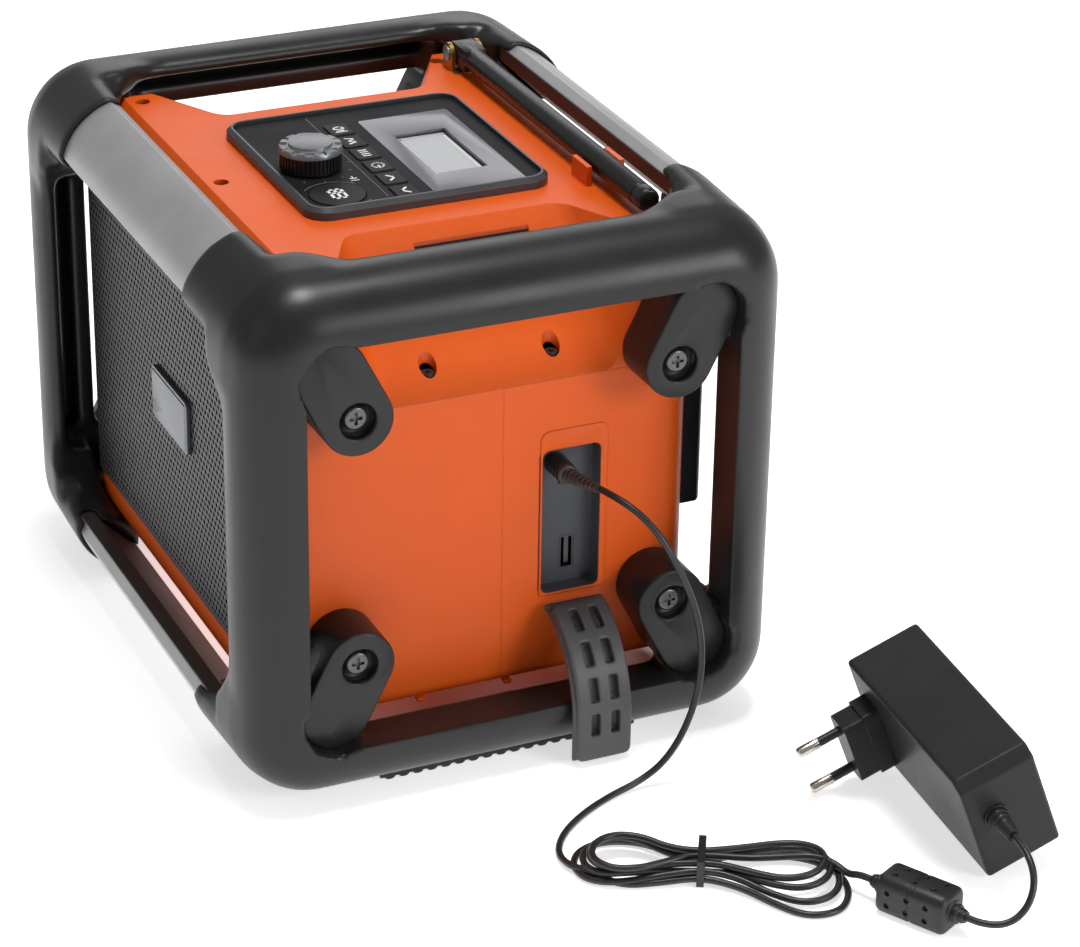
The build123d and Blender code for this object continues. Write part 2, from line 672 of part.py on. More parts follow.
def upper_blank(inset):
    """The top cover's block above the seam, its ends leaning in and its edges chamfered."""
    top = BODY_TOP - inset
    block = extrude(Plane.XY.offset(SEAM_Z) * plan(inset), top - SEAM_Z)
    x = BODY_X - inset
    lean = [
        (-x, SEAM_Z), (x, SEAM_Z), (x, EAR_BREAK_Z), (x - EAR_LEAN, BODY_TOP),
        (EAR_LEAN - x, BODY_TOP), (-x, EAR_BREAK_Z),
    ]
    block &= extrude(Plane.XZ * Polygon(*lean, align=None), FAR, both=True)
    front, rear = BODY_FRONT - inset, BODY_REAR - inset
    slant = inset * (math.sqrt(2) - 1)
    front_cut, rear_cut = FRONT_CHAMFER - slant, REAR_CHAMFER - slant
    section = [
        (-front, SEAM_Z), (rear, SEAM_Z), (rear, top - rear_cut), (rear - rear_cut, top),
        (front_cut - front, top), (-front, top - front_cut),
    ]
    return block & extrude(Plane.YZ * Polygon(*section, align=None), FAR, both=True)


def beyond(origin, normal):
    """Everything on the far side of a plane."""
    return extrude(Plane(origin=origin, z_dir=normal) * Rectangle(FAR, FAR), FAR)


def scoop(grow):
    """The hand scoop under the right end frame's top member, grown into the wall."""
    low = Vector(BODY_X, SCOOP_HALF_LOW, SEAM_Z)
    across = Vector(SCOOP_EDGE_X, SCOOP_HALF_IN, BODY_TOP) - low
    along = Vector(SCOOP_OUT_X, SCOOP_HALF_OUT, BODY_TOP) - low
    side = along.cross(across).normalized()
    floor = Vector(BODY_TOP - SEAM_Z, 0, BODY_X - SCOOP_EDGE_X).normalized()
    hollow = beyond(Vector(BODY_X, 0, SEAM_Z) - floor * grow, floor)
    hollow &= beyond(low - side * grow, side)
    mirrored = Vector(side.X, -side.Y, side.Z)
    hollow &= beyond(Vector(low.X, -low.Y, low.Z) - mirrored * grow, mirrored)
    hollow &= bar(0, BODY_X + 60, -FAR / 3, FAR / 3, SEAM_Z - 30, BODY_TOP + 30)
    lines = [
        edge for edge in hollow.edges().filter_by(GeomType.LINE)
        if abs((edge.center() - low).dot(floor) + grow) < 0.5 and abs(edge.tangent_at(0.5).Z) > 0.3
    ]
    hollow = fillet(lines, SCOOP_FILLET + grow)
    return hollow & bar(0, BODY_X + 40, -FAR, FAR, SEAM_Z, FAR)


def boss_x(y, z):
    """A screw boss behind the right end wall."""
    return rod_x(6.0, LEG_SEAT_X - LEG_SCREW_LENGTH - 2, BODY_X - WALL + 0.5, y, z)


lower_shell = lower_blank(0) - lower_blank(WALL)
upper_inner = upper_blank(WALL)
for cutter in both_ends(scoop(WALL)):
    upper_inner -= cutter
upper_shell = upper_blank(0)
for cutter in both_ends(scoop(0)):
    upper_shell -= cutter
upper_shell -= upper_inner

corner_posts = [
    (side * POST_X, y) for side in (-1, 1) for y in (FRONT_POST_Y, REAR_POST_Y)
]
slope_posts = [
    (side * SLOPE_SCREW_X, y) for side in (-1, 1) for y in (-SLOPE_SCREW_Y, SLOPE_SCREW_Y)
]
middle_post = (0.0, FRONT_POST_Y)
post_floor = BODY_BOTTOM + WALL - 0.5
seat_z = SEAM_Z + COVER_SEAT
slope_seat_z = SEAM_Z + SLOPE_SEAT

for x, y in corner_posts:
    lower_shell += rod_z(POST_RADIUS, x, y, post_floor, SEAM_Z)
    upper_shell += rod_z(POST_RADIUS, x, y, SEAM_Z, BODY_TOP - 1)
upper_shell += rod_z(POST_RADIUS, *middle_post, SEAM_Z, BODY_TOP - 1)
rib_bottom = SEAM_Z - MIDDLE_POST_HEIGHT
lower_shell += rod_z(POST_RADIUS, *middle_post, rib_bottom, SEAM_Z)
lower_shell += bar(-POST_RIB / 2, POST_RIB / 2, -BODY_FRONT + 1, middle_post[1], rib_bottom, SEAM_Z)
for x, y in slope_posts:
    lower_shell += rod_z(POST_RADIUS, x, y, SEAM_Z - 22, SEAM_Z)
    wall_x = math.copysign(BODY_X - WALL + 0.5, x)
    lower_shell += bar(x, wall_x, y - POST_RIB / 2, y + POST_RIB / 2, SEAM_Z - 22, SEAM_Z)
    upper_shell += rod_z(POST_RADIUS, x, y, SEAM_Z, slope_seat_z)
for cutter in both_ends(scoop(0)):
    upper_shell -= cutter
for x, y in corner_posts + slope_posts + [middle_post]:
    seat = slope_seat_z if (x, y) in slope_posts else seat_z
    bore = 3.2 if (x, y) in slope_posts else DRIVER_BORE
    tip = rib_bottom if x == 0 else seat - COVER_SCREW_LENGTH + 1.5
    upper_shell -= rod_z(bore, x, y, seat, FAR)
    upper_shell -= rod_z(COVER_SCREW + SCREW_FIT, x, y, SEAM_Z - 1, seat + 1)
    lower_shell -= rod_z(COVER_SCREW + SCREW_FIT, x, y, tip, SEAM_Z + 1)


def make_cover_screw(x, y):
    """A top cover screw, standing in its driver bore."""
    seat = slope_seat_z if (x, y) in slope_posts else seat_z
    tip = rib_bottom + 0.5 if x == 0 else seat - COVER_SCREW_LENGTH + 2
    head = rod_z(COVER_SCREW_HEAD, x, y, seat, seat + COVER_SCREW_HEAD_HEIGHT)
    head -= Pos(x, y, seat + COVER_SCREW_HEAD_HEIGHT) * Box(2.6, 0.7, 1.6)
    head -= Pos(x, y, seat + COVER_SCREW_HEAD_HEIGHT) * Box(0.7, 2.6, 1.6)
    return head + rod_z(COVER_SCREW, x, y, tip, seat)


add("cover_screws", *[make_cover_screw(*place) for place in corner_posts + slope_posts + [middle_post]])

for y, z in leg_places:
    bosses = both_ends(boss_x(y, z))
    holes = both_ends(
        rod_x(LEG_SCREW + SCREW_FIT, LEG_SEAT_X - LEG_SCREW_LENGTH - 0.5, BODY_X + 1, y, z)
    )
    for boss, hole in zip(bosses, holes):
        if z < MID_Z:
            lower_shell = lower_shell + boss - hole
        else:
            upper_shell = upper_shell + boss - hole

# top cover: opening for the control unit and the two tabs that hold the antenna
edge_x = PANEL_LENGTH / 2 - BEZEL_BAND
edge_y = PANEL_WIDTH / 2 - BEZEL_BAND
opening = (
    PANEL_X - edge_x + PANEL_LEDGE_LEFT, PANEL_X + edge_x - 0.3,
    PANEL_Y - edge_y + PANEL_LEDGE, PANEL_Y + edge_y - PANEL_LEDGE_REAR,
)
upper_shell -= bar(*opening, BODY_TOP - 3 * WALL, FAR)
tab_offset = ANTENNA_RADIUS + ANTENNA_GAP + 1.0
for side in (-1, 1):
    near = ANTENNA_Y + side * tab_offset
    tab = bar(
        TAB_X - TAB_LENGTH / 2 - side, TAB_X + TAB_LENGTH / 2 - side,
        near, near + side * TAB_THICK, BODY_TOP - 1, BODY_TOP + TAB_HEIGHT,
    )
    upper_shell += tab
slit_low, slit_high = SLIT_Y - SLIT_LENGTH / 2, SLIT_Y + SLIT_LENGTH / 2
slit = bar(SLIT_X - 1, SLIT_X + 1, slit_low, slit_high, SEAM_Z + 20, BODY_TOP)
for cutter in both_ends(slit & (scoop(1.4) - scoop(-1))):
    upper_shell -= cutter
add("top_cover", upper_shell)

# front housing: speaker opening
front_housing = lower_shell & bar(-FAR, FAR, -FAR, SPLIT_Y, 0, FAR)
front_housing -= rod_y(SPEAKER_HOLE, 0, -BODY_FRONT - 1, -BODY_FRONT + WALL + 1, SPEAKER_Z)
add("front_housing", front_housing)

# rear housing: socket opening, battery opening, shelf and board posts
rear_housing = lower_shell & bar(-FAR, FAR, SPLIT_Y, FAR, 0, FAR)
port_cut = Plane.YZ.offset(BODY_X - WALL - 1) * Pos(PORT_Y, PORT_Z) * RectangleRounded(
    PORT_WIDTH + 2 * PORT_WALL, PORT_HEIGHT + 2 * PORT_WALL, PORT_CORNER + PORT_WALL
)
rear_housing -= extrude(port_cut, WALL + 5)
battery_half = BATTERY_LENGTH / 2 + 3
shelf_z = DOOR_BOTTOM + 2.5
battery_top = shelf_z + BATTERY_HEIGHT
rear_housing -= bar(
    -battery_half, battery_half, BODY_REAR - WALL - 1, BODY_REAR + 1, shelf_z, battery_top + 1
)
rear_housing += bar(
    -battery_half, battery_half, BODY_REAR - WALL - BATTERY_DEPTH - 3, BODY_REAR - 1,
    shelf_z - SHELF_THICK, shelf_z,
)
board_y = SPLIT_Y + MAIN_BOARD_GAP + MAIN_BOARD_DEPTH / 2
board_z = BODY_BOTTOM + WALL + MAIN_BOARD_LIFT
for side in (-1, 1):
    for end in (-1, 1):
        post_x = side * (MAIN_BOARD_LENGTH / 2 - BOARD_POST_INSET)
        post_y = board_y + end * (MAIN_BOARD_DEPTH / 2 - BOARD_POST_INSET)
        rear_housing += rod_z(BOARD_POST_RADIUS, post_x, post_y, post_floor, board_z)
add("rear_housing", rear_housing)


# ---------------------------------------------------------------- speaker side
def make_grille():
    """Sheet over the speaker side, run round both front corners."""
    outer = Pos(0, 0) * offset(plan(0), GRILLE_SHEET)
    sheet = outer - plan(0)
    sheet &= Pos(0, -BODY_FRONT + GRILLE_WRAP / 2 - 2) * Rectangle(FAR, GRILLE_WRAP + 4)
    return extrude(Plane.XY.offset(GRILLE_BOTTOM) * sheet, GRILLE_TOP - GRILLE_BOTTOM)


add("speaker_grille", make_grille())
badge_face = Plane.XZ.offset(BODY_FRONT + GRILLE_SHEET) * Pos(BADGE_X, BADGE_Z)
badge = extrude(badge_face * RectangleRounded(BADGE_LENGTH, BADGE_HEIGHT, 1.5), BADGE_THICK)
add("badge_plate", chamfer(badge.faces().sort_by(Axis.Y)[0].edges(), 0.6))


def ring_of(points):
    """A solid of revolution about the speaker's axis, from (radius, depth behind the wall)."""
    wall_y = -BODY_FRONT + WALL
    face = Plane.XY * Polygon(*[(r, wall_y + d) for r, d in points], align=None)
    axis = Axis((0, 0, 0), (0, 1, 0))
    return Pos(0, 0, SPEAKER_Z) * revolve(face, axis, 360)


s = SPEAKER_SHEET
neck = SPEAKER_MAGNET * 0.6
basket = ring_of([
    (SPEAKER_HOLE - 2, 0), (SPEAKER_FLANGE, 0), (SPEAKER_FLANGE, s), (SPEAKER_HOLE, s),
    (SPEAKER_MAGNET, SPEAKER_DEPTH), (neck, SPEAKER_DEPTH), (neck, SPEAKER_DEPTH - s),
    (SPEAKER_MAGNET - 1, SPEAKER_DEPTH - s), (SPEAKER_HOLE - 2, s),
])
surround = ring_of([
    (SPEAKER_HOLE - 8, -0.5), (SPEAKER_HOLE - 5, -2.2), (SPEAKER_HOLE - 2, -0.5),
    (SPEAKER_HOLE - 2, 0.9), (SPEAKER_HOLE - 8, 0.9),
])
cone = ring_of([
    (0, SPEAKER_DEPTH * 0.35), (9, SPEAKER_DEPTH * 0.5), (SPEAKER_HOLE - 8, -0.5),
    (SPEAKER_HOLE - 8, 0.9), (10, SPEAKER_DEPTH * 0.6), (10, SPEAKER_DEPTH - s),
    (0, SPEAKER_DEPTH - s),
])
magnet = ring_of([
    (0, SPEAKER_DEPTH), (SPEAKER_MAGNET, SPEAKER_DEPTH),
    (SPEAKER_MAGNET, SPEAKER_DEPTH + SPEAKER_MAGNET_DEPTH),
    (0, SPEAKER_DEPTH + SPEAKER_MAGNET_DEPTH),
])
add("speaker_basket", basket)
add("speaker_surround", surround)
add("speaker_cone", cone)
add("speaker_magnet", magnet)


# ---------------------------------------------------------------- control unit
def panel_outline(inset):
    """The control unit's outline seen from above, inset all round."""
    size = (PANEL_LENGTH - 2 * inset, PANEL_WIDTH - 2 * inset)
    return Pos(PANEL_X, PANEL_Y) * RectangleRounded(*size, PANEL_CORNER - inset)


bezel = extrude(Plane.XY.offset(BODY_TOP) * panel_outline(0), BEZEL_HEIGHT)
bezel = chamfer(bezel.faces().sort_by(Axis.Z)[-1].edges(), BEZEL_BEVEL)
bezel -= extrude(Plane.XY.offset(BODY_TOP - 1) * panel_outline(BEZEL_BAND), FAR)
add("control_bezel", bezel)

panel = extrude(Plane.XY.offset(BODY_TOP) * panel_outline(BEZEL_BAND + PANEL_FIT), PANEL_THICK)
board_posts = [
    (opening[0] + 4, opening[2] + 4), (opening[0] + 4, opening[3] - 4),
    (opening[1] - 4, opening[3] - 4), (MODE_X - MODE_RADIUS - 5, opening[2] + 3.5),
]
for x, y in board_posts:
    panel += rod_z(BOARD_POST, x, y, BOARD_TOP, BODY_TOP + 0.5)

key_places = [(KEY_FIRST_X + i * KEY_PITCH, KEY_Y) for i in range(KEY_COUNT)]


def key_outline(grow):
    """A key's outline, grown all round."""
    return RectangleRounded(KEY_LENGTH + 2 * grow, KEY_WIDTH + 2 * grow, KEY_CORNER + grow)


def mode_outline(grow):
    """The mode button's outline, grown all round."""
    return Circle(MODE_RADIUS + grow)


def make_button(outline, x, y):
    """A sprung button: cap through the panel, flange under it, stem down to its switch."""
    stem_bottom = BOARD_TOP + SWITCH_SIDE / 2 + BUTTON_TRAVEL + 0.1
    cap = extrude(Plane.XY.offset(BODY_TOP) * outline(0), PANEL_THICK + BUTTON_PROUD)
    cap = fillet(cap.faces().sort_by(Axis.Z)[-1].edges(), 0.4)
    flange = extrude(Plane.XY.offset(BODY_TOP) * outline(BUTTON_FLANGE), -BUTTON_FLANGE_THICK)
    stem = rod_z(2.0, 0, 0, stem_bottom, BODY_TOP - BUTTON_FLANGE_THICK)
    return Pos(x, y, 0) * (cap + flange + stem)


def button_hole(outline, x, y):
    """Hole in the panel for a button."""
    return extrude(Plane.XY.offset(BODY_TOP - 1) * Pos(x, y) * outline(BUTTON_GAP), FAR)


for index, (x, y) in enumerate(key_places):
    add("key_" + str(index + 1), make_button(key_outline, x, y))
    panel -= button_hole(key_outline, x, y)
add("mode_button", make_button(mode_outline, MODE_X, MODE_Y))
panel -= button_hole(mode_outline, MODE_X, MODE_Y)
panel -= rod_z(ENCODER_BUSH + BUTTON_GAP, KNOB_X, KNOB_Y, 0, FAR)
window_z = PANEL_TOP - WINDOW_THICK
window_face = Plane.XY.offset(window_z) * Pos(WINDOW_X, WINDOW_Y)
panel -= extrude(window_face * Rectangle(WINDOW_LENGTH + 0.2, WINDOW_WIDTH + 0.2), FAR)
lcd_pocket = Plane.XY.offset(BODY_TOP - 1) * Pos(LCD_X, LCD_Y)
panel -= extrude(lcd_pocket * Rectangle(LCD_LENGTH + 0.4, LCD_WIDTH + 0.4), FAR)
add("keypad_panel", panel)
window = extrude(window_face * Rectangle(WINDOW_LENGTH, WINDOW_WIDTH), WINDOW_THICK)
add("display_window", window)
lcd = extrude(Plane.XY.offset(window_z) * Pos(LCD_X, LCD_Y) * Rectangle(LCD_LENGTH, LCD_WIDTH), -LCD_THICK)
add("lcd_module", lcd)

# board with its switches, a foot under the display and the encoder
board = bar(opening[0] + 0.5, opening[1] - 0.5, opening[2] + 0.5, opening[3] - 0.5,
            BOARD_TOP - BOARD_THICK, BOARD_TOP)
for x, y in key_places + [(MODE_X, MODE_Y)]:
    board += bar(
        x - SWITCH_SIDE / 2, x + SWITCH_SIDE / 2, y - SWITCH_SIDE / 2, y + SWITCH_SIDE / 2,
        BOARD_TOP - 0.5, BOARD_TOP + SWITCH_SIDE / 2,
    )
board += bar(
    LCD_X - LCD_LENGTH / 2, LCD_X + LCD_LENGTH / 2, LCD_Y - LCD_WIDTH / 2,
    LCD_Y + LCD_WIDTH / 2, BOARD_TOP - 0.5, window_z - LCD_THICK,
)
add("control_board", board)

encoder_top = BOARD_TOP + ENCODER_HEIGHT
encoder = bar(
    KNOB_X - ENCODER_SIDE / 2, KNOB_X + ENCODER_SIDE / 2, KNOB_Y - ENCODER_SIDE / 2,
    KNOB_Y + ENCODER_SIDE / 2, BOARD_TOP, encoder_top,
)
encoder += rod_z(ENCODER_BUSH, KNOB_X, KNOB_Y, encoder_top - 0.5, PANEL_TOP - 0.6)
shaft_foot = BOARD_TOP + 1.5
encoder -= rod_z(SHAFT_RADIUS + SHAFT_FIT, KNOB_X, KNOB_Y, shaft_foot - KNOB_TRAVEL - 0.3, FAR)
add("rotary_encoder", encoder)
knob_bottom = PANEL_TOP + KNOB_LIFT
knob_top = knob_bottom + KNOB_HEIGHT
shaft_top = knob_top - 3.0
add("encoder_shaft", rod_z(SHAFT_RADIUS, KNOB_X, KNOB_Y, shaft_foot, shaft_top))

knob = rod_z(KNOB_RADIUS, 0, 0, knob_bottom, knob_top)
knob = chamfer(knob.edges().group_by(Axis.Z)[-1], 0.9)
for i in range(KNOB_FLUTES):
    angle = 2 * math.pi * i / KNOB_FLUTES
    reach = KNOB_RADIUS + KNOB_FLUTE * 0.45
    knob -= rod_z(KNOB_FLUTE, reach * math.cos(angle), reach * math.sin(angle),
                  knob_bottom - 1, knob_top + 1)
knob -= rod_z(KNOB_RADIUS - KNOB_RIM, 0, 0, knob_top - KNOB_DISH, knob_top + 1)
knob -= rod_z(SHAFT_RADIUS + SHAFT_FIT, 0, 0, knob_bottom - 1, shaft_top + 0.3)
knob -= rod_z(ENCODER_BUSH + 0.8, 0, 0, knob_bottom - 1, knob_bottom + 1)
add("volume_knob", Pos(KNOB_X, KNOB_Y, 0) * knob)


# ---------------------------------------------------------------- antenna
rod_blank = rod_x(ANTENNA_RADIUS, ANTENNA_PIVOT_X, ANTENNA_TIP_X, ANTENNA_Y, ANTENNA_Z)
taper_start = ANTENNA_TIP_X - 60
antenna = rod_x(ANTENNA_RADIUS, ANTENNA_PIVOT_X, taper_start, ANTENNA_Y, ANTENNA_Z)
antenna += Pos((taper_start + ANTENNA_TIP_X) / 2, ANTENNA_Y, ANTENNA_Z) * Rot(0, 90, 0) * Cone(
    ANTENNA_RADIUS, ANTENNA_TIP_RADIUS, ANTENNA_TIP_X - taper_start
)
antenna = fillet(antenna.edges().sort_by(Axis.X)[-1], 1.2)
antenna += rod_y(ANTENNA_RADIUS, ANTENNA_PIVOT_X, ANTENNA_Y - ANTENNA_RADIUS,
                 ANTENNA_Y + ANTENNA_RADIUS, ANTENNA_Z)
antenna -= rod_y(PIN_RADIUS + PIN_FIT, ANTENNA_PIVOT_X, 0, FAR, ANTENNA_Z)
add("antenna_rod", antenna)

ear_inner = ANTENNA_RADIUS + ANTENNA_GAP
bracket = bar(
    ANTENNA_PIVOT_X - BRACKET_LENGTH / 2, ANTENNA_PIVOT_X + BRACKET_LENGTH / 2,
    ANTENNA_Y - ear_inner - EAR_THICK, ANTENNA_Y + ear_inner + EAR_THICK,
    BODY_TOP, BODY_TOP + BRACKET_PLATE - 0.3,
)
for side in (-1, 1):
    inner, outer = ANTENNA_Y + side * ear_inner, ANTENNA_Y + side * (ear_inner + EAR_THICK)
    bracket += bar(ANTENNA_PIVOT_X - 4.2, ANTENNA_PIVOT_X + 4.2, inner, outer, BODY_TOP, ANTENNA_Z)
    bracket += rod_y(4.2, ANTENNA_PIVOT_X, inner, outer, ANTENNA_Z)
bracket -= rod_y(PIN_RADIUS, ANTENNA_PIVOT_X, 0, FAR, ANTENNA_Z)
add("antenna_bracket", bracket)
pin_reach = ear_inner + EAR_THICK
pin = rod_y(PIN_RADIUS, ANTENNA_PIVOT_X, ANTENNA_Y - pin_reach, ANTENNA_Y + pin_reach, ANTENNA_Z)
for side in (-1, 1):
    pin += rod_y(PIN_RADIUS + 1, ANTENNA_PIVOT_X, ANTENNA_Y + side * pin_reach,
                 ANTENNA_Y + side * (pin_reach + 0.8), ANTENNA_Z)
add("antenna_pin", pin)


# ---------------------------------------------------------------- socket recess
def port_outline(grow):
    """The recess seen along X, grown all round."""
    size = (PORT_WIDTH + 2 * grow, PORT_HEIGHT + 2 * grow)
    return Pos(PORT_Y, PORT_Z) * RectangleRounded(*size, PORT_CORNER + grow)


floor_x = BODY_X - PORT_DEPTH
tray = extrude(Plane.YZ.offset(floor_x - 2) * port_outline(PORT_WALL - 0.1), PORT_DEPTH + 2 - 0.3)
tray -= extrude(Plane.YZ.offset(floor_x) * port_outline(0), FAR)
flange = port_outline(PORT_WALL + 2.5) - port_outline(PORT_WALL - 0.1)
tray += extrude(Plane.YZ.offset(BODY_X - WALL) * flange, -1.5)
tray -= rod_x(SOCKET_BORE + 0.4, 0, FAR, SOCKET_Y, SOCKET_Z)
tray -= bar(0, FAR, USB_Y - USB_WIDTH / 2 - 0.2, USB_Y + USB_WIDTH / 2 + 0.2,
            USB_Z - USB_LENGTH / 2 - 0.2, USB_Z + USB_LENGTH / 2 + 0.2)
tray -= bar(floor_x - 1.5, FAR, JACK_Y - JACK_SIDE / 2, JACK_Y + JACK_SIDE / 2,
            JACK_Z - JACK_SIDE / 2, JACK_Z + JACK_SIDE / 2)
add("socket_tray", tray)

back_x = floor_x - 2
dc_socket = bar(back_x - SOCKET_DEPTH, back_x, SOCKET_Y - SOCKET_SIDE / 2,
                SOCKET_Y + SOCKET_SIDE / 2, SOCKET_Z - SOCKET_SIDE / 2, SOCKET_Z + SOCKET_SIDE / 2)
dc_socket += rod_x(SOCKET_BORE + 0.35, back_x - 1, floor_x, SOCKET_Y, SOCKET_Z)
dc_socket -= rod_x(SOCKET_BORE, back_x - SOCKET_DEPTH + 2, FAR, SOCKET_Y, SOCKET_Z)
dc_socket += rod_x(SOCKET_PIN, back_x - SOCKET_DEPTH + 1, back_x, SOCKET_Y, SOCKET_Z)
add("dc_socket", dc_socket)

usb = bar(floor_x - USB_DEPTH, floor_x, USB_Y - USB_WIDTH / 2, USB_Y + USB_WIDTH / 2,
          USB_Z - USB_LENGTH / 2, USB_Z + USB_LENGTH / 2)
usb -= bar(floor_x - USB_DEPTH + 2, FAR, USB_Y - USB_WIDTH / 2 + USB_SHEET,
           USB_Y + USB_WIDTH / 2 - USB_SHEET, USB_Z - USB_LENGTH / 2 + USB_SHEET,
           USB_Z + USB_LENGTH / 2 - USB_SHEET)
usb += bar(floor_x - USB_DEPTH + 1, floor_x - 1.5, USB_Y - 0.3, USB_Y + 1.5,
           USB_Z - USB_LENGTH / 2 + 1.4, USB_Z + USB_LENGTH / 2 - 1.4)
add("usb_socket", usb)

# ---------------------------------------------------------------- socket flap, hanging open
HINGE_X = BODY_X + FLAP_HINGE_OUT


BEND_X = END_X + FLAP_GAP - FLAP_BEND


def flap_band(near, far, start, bottom, y0, y1):
    """A band of the hanging flap between two distances from its back."""
    inner, outer = FLAP_BEND + near, FLAP_BEND + far

    def on_arc(radius, degrees):
        angle = math.radians(degrees)
        return (BEND_X + radius * math.cos(angle), FLAP_BEND_END_Z + radius * math.sin(angle))

    outline = [
        ThreePointArc(on_arc(outer, start), on_arc(outer, start / 2), on_arc(outer, 0)),
        Polyline(on_arc(outer, 0), (BEND_X + outer, bottom), (BEND_X + inner, bottom), on_arc(inner, 0)),
        ThreePointArc(on_arc(inner, 0), on_arc(inner, start / 2), on_arc(inner, start)),
        Line(on_arc(inner, start), on_arc(outer, start)),
    ]
    face = Plane.XZ.offset(-y1) * make_face(Curve() + outline)
    return extrude(face, y1 - y0)


def flap_place(length):
    """Where a length from the hinge comes to lie on the flap's face: x, z and its turn."""
    face = FLAP_BEND + FLAP_LID + FLAP_PAD
    bend = face * math.radians(FLAP_START)
    if length > bend:
        return BEND_X + face, FLAP_BEND_END_Z - (length - bend), 0.0
    angle = (bend - length) / face
    x = BEND_X + face * math.cos(angle)
    return x, FLAP_BEND_END_Z + face * math.sin(angle), math.degrees(angle)


flap_low, flap_high = PORT_Y - FLAP_WIDTH / 2, PORT_Y + FLAP_WIDTH / 2
flap_face = FLAP_LID + FLAP_PAD
flap = flap_band(0, FLAP_LID, FLAP_START, FLAP_BOTTOM, flap_low, flap_high)
flap += flap_band(FLAP_LID - 0.3, flap_face, FLAP_START - 8, FLAP_BOTTOM + 1.6,
                  flap_low + FLAP_PAD_INSET, flap_high - FLAP_PAD_INSET * 0.4)
flap += rod_y(FLAP_KNUCKLE, HINGE_X, flap_low, flap_high, FLAP_HINGE_Z)
for column in (-1, 1):
    slot_y = PORT_Y + 0.8 + column * 4.2
    for row in range(FLAP_SLOT_ROWS):
        x, z, turn = flap_place(FLAP_SLOT_PITCH * (row + 1))
        slot = Box(2 * FLAP_SLOT_DEPTH, FLAP_SLOT, FLAP_SLOT_LENGTH)
        flap -= Pos(x, slot_y, z) * Rot(0, -turn, 0) * slot
add("port_flap", flap)

# ---------------------------------------------------------------- rear module and battery
rear_y = BODY_REAR + REAR_PROUD
rear_panel = bar(-REAR_LENGTH / 2, REAR_LENGTH / 2, BODY_REAR, rear_y, REAR_BOTTOM, REAR_TOP)
rear_panel = fillet(rear_panel.faces().sort_by(Axis.Y)[-1].edges(), REAR_EDGE)
door_half = DOOR_LENGTH / 2
rear_panel -= bar(-door_half - DOOR_GAP, door_half + DOOR_GAP, BODY_REAR - 1, rear_y + 1,
                  DOOR_BOTTOM - DOOR_GAP, DOOR_TOP + DOOR_GAP)
door_axis_y = rear_y - DOOR_THICK / 2 - 0.4
door_axis_z = DOOR_BOTTOM + DOOR_THICK / 2
for side in (-1, 1):
    rear_panel -= rod_x(DOOR_PIN, side * (door_half - 1), side * (door_half + 4),
                        door_axis_y, door_axis_z)
add("rear_panel", rear_panel)

door = bar(-door_half, door_half, door_axis_y - DOOR_THICK / 2, door_axis_y + DOOR_THICK / 2,
           door_axis_z, DOOR_TOP)
door += rod_x(DOOR_THICK / 2, -door_half, door_half, door_axis_y, door_axis_z)
door -= bar(-14, 14, door_axis_y + DOOR_THICK / 2 - 1.8, rear_y + 1, DOOR_TOP - 9, DOOR_TOP + 1)
for side in (-1, 1):
    door -= rod_x(DOOR_PIN + PIN_FIT, side * (door_half - 5), side * (door_half + 1),
                  door_axis_y, door_axis_z)
add("battery_door", door)
pins = [
    rod_x(DOOR_PIN, side * (door_half - 4.8), side * (door_half + 3.5), door_axis_y, door_axis_z)
    for side in (-1, 1)
]
add("door_pins", *pins)

battery_y = BODY_REAR - WALL - 1
battery = bar(-BATTERY_LENGTH / 2, BATTERY_LENGTH / 2, battery_y - BATTERY_DEPTH, battery_y,
              shelf_z, battery_top)
add("battery_pack", fillet(battery.edges().filter_by(Axis.X), 5))
main_board = bar(-MAIN_BOARD_LENGTH / 2, MAIN_BOARD_LENGTH / 2, board_y - MAIN_BOARD_DEPTH / 2,
                 board_y + MAIN_BOARD_DEPTH / 2, board_z, board_z + BOARD_THICK)
main_board += bar(-CHIP_LEFT, CHIP_RIGHT, board_y - CHIP_HALF, board_y + CHIP_HALF,
                  board_z, board_z + CHIP_HEIGHT)
add("main_board", main_board)

# ---------------------------------------------------------------- lead
plug_face = floor_x + 0.3
plug_end = Vector(plug_face + PLUG_BODY_LENGTH - 1, SOCKET_Y, SOCKET_Z)
LEAD_FIRST = Vector(END_X + 2.5, SOCKET_Y + 8.5, SOCKET_Z + 0.2)
lead_dir = (LEAD_FIRST - plug_end).normalized()
relief_end = plug_end + lead_dir * (RELIEF_LENGTH + 1)
plug = rod_x(PLUG_BODY_RADIUS, plug_face, plug_face + PLUG_BODY_LENGTH, SOCKET_Y, SOCKET_Z)
plug = chamfer(plug.edges().group_by(Axis.X)[-1], 1.0)
plug += rod_x(SOCKET_BORE - 0.2, floor_x - 9.5, plug_face, SOCKET_Y, SOCKET_Z)
plug -= rod_x(SOCKET_PIN + 0.3, 0, floor_x - 1, SOCKET_Y, SOCKET_Z)
relief_plane = Plane(origin=plug_end - lead_dir * 2, z_dir=lead_dir)
relief = relief_plane * Pos(0, 0, (RELIEF_LENGTH + 3) / 2) * Cone(
    RELIEF_ROOT, RELIEF_TIP, RELIEF_LENGTH + 3
)
plug += relief
add("dc_plug", plug)


def cord_path(points):
    """Straight runs joined by the largest arcs that they allow."""
    route = [Vector(*point) for point in points]
    radii = []
    for before, here, after in zip(route, route[1:], route[2:]):
        first, second = here - before, after - here
        turn = math.radians(first.get_angle(second))
        radii.append(0.45 * min(first.length, second.length) / math.tan(turn / 2))
    print("arc radii", [round(radius, 1) for radius in radii])
    return FilletPolyline(*route, radius=radii)


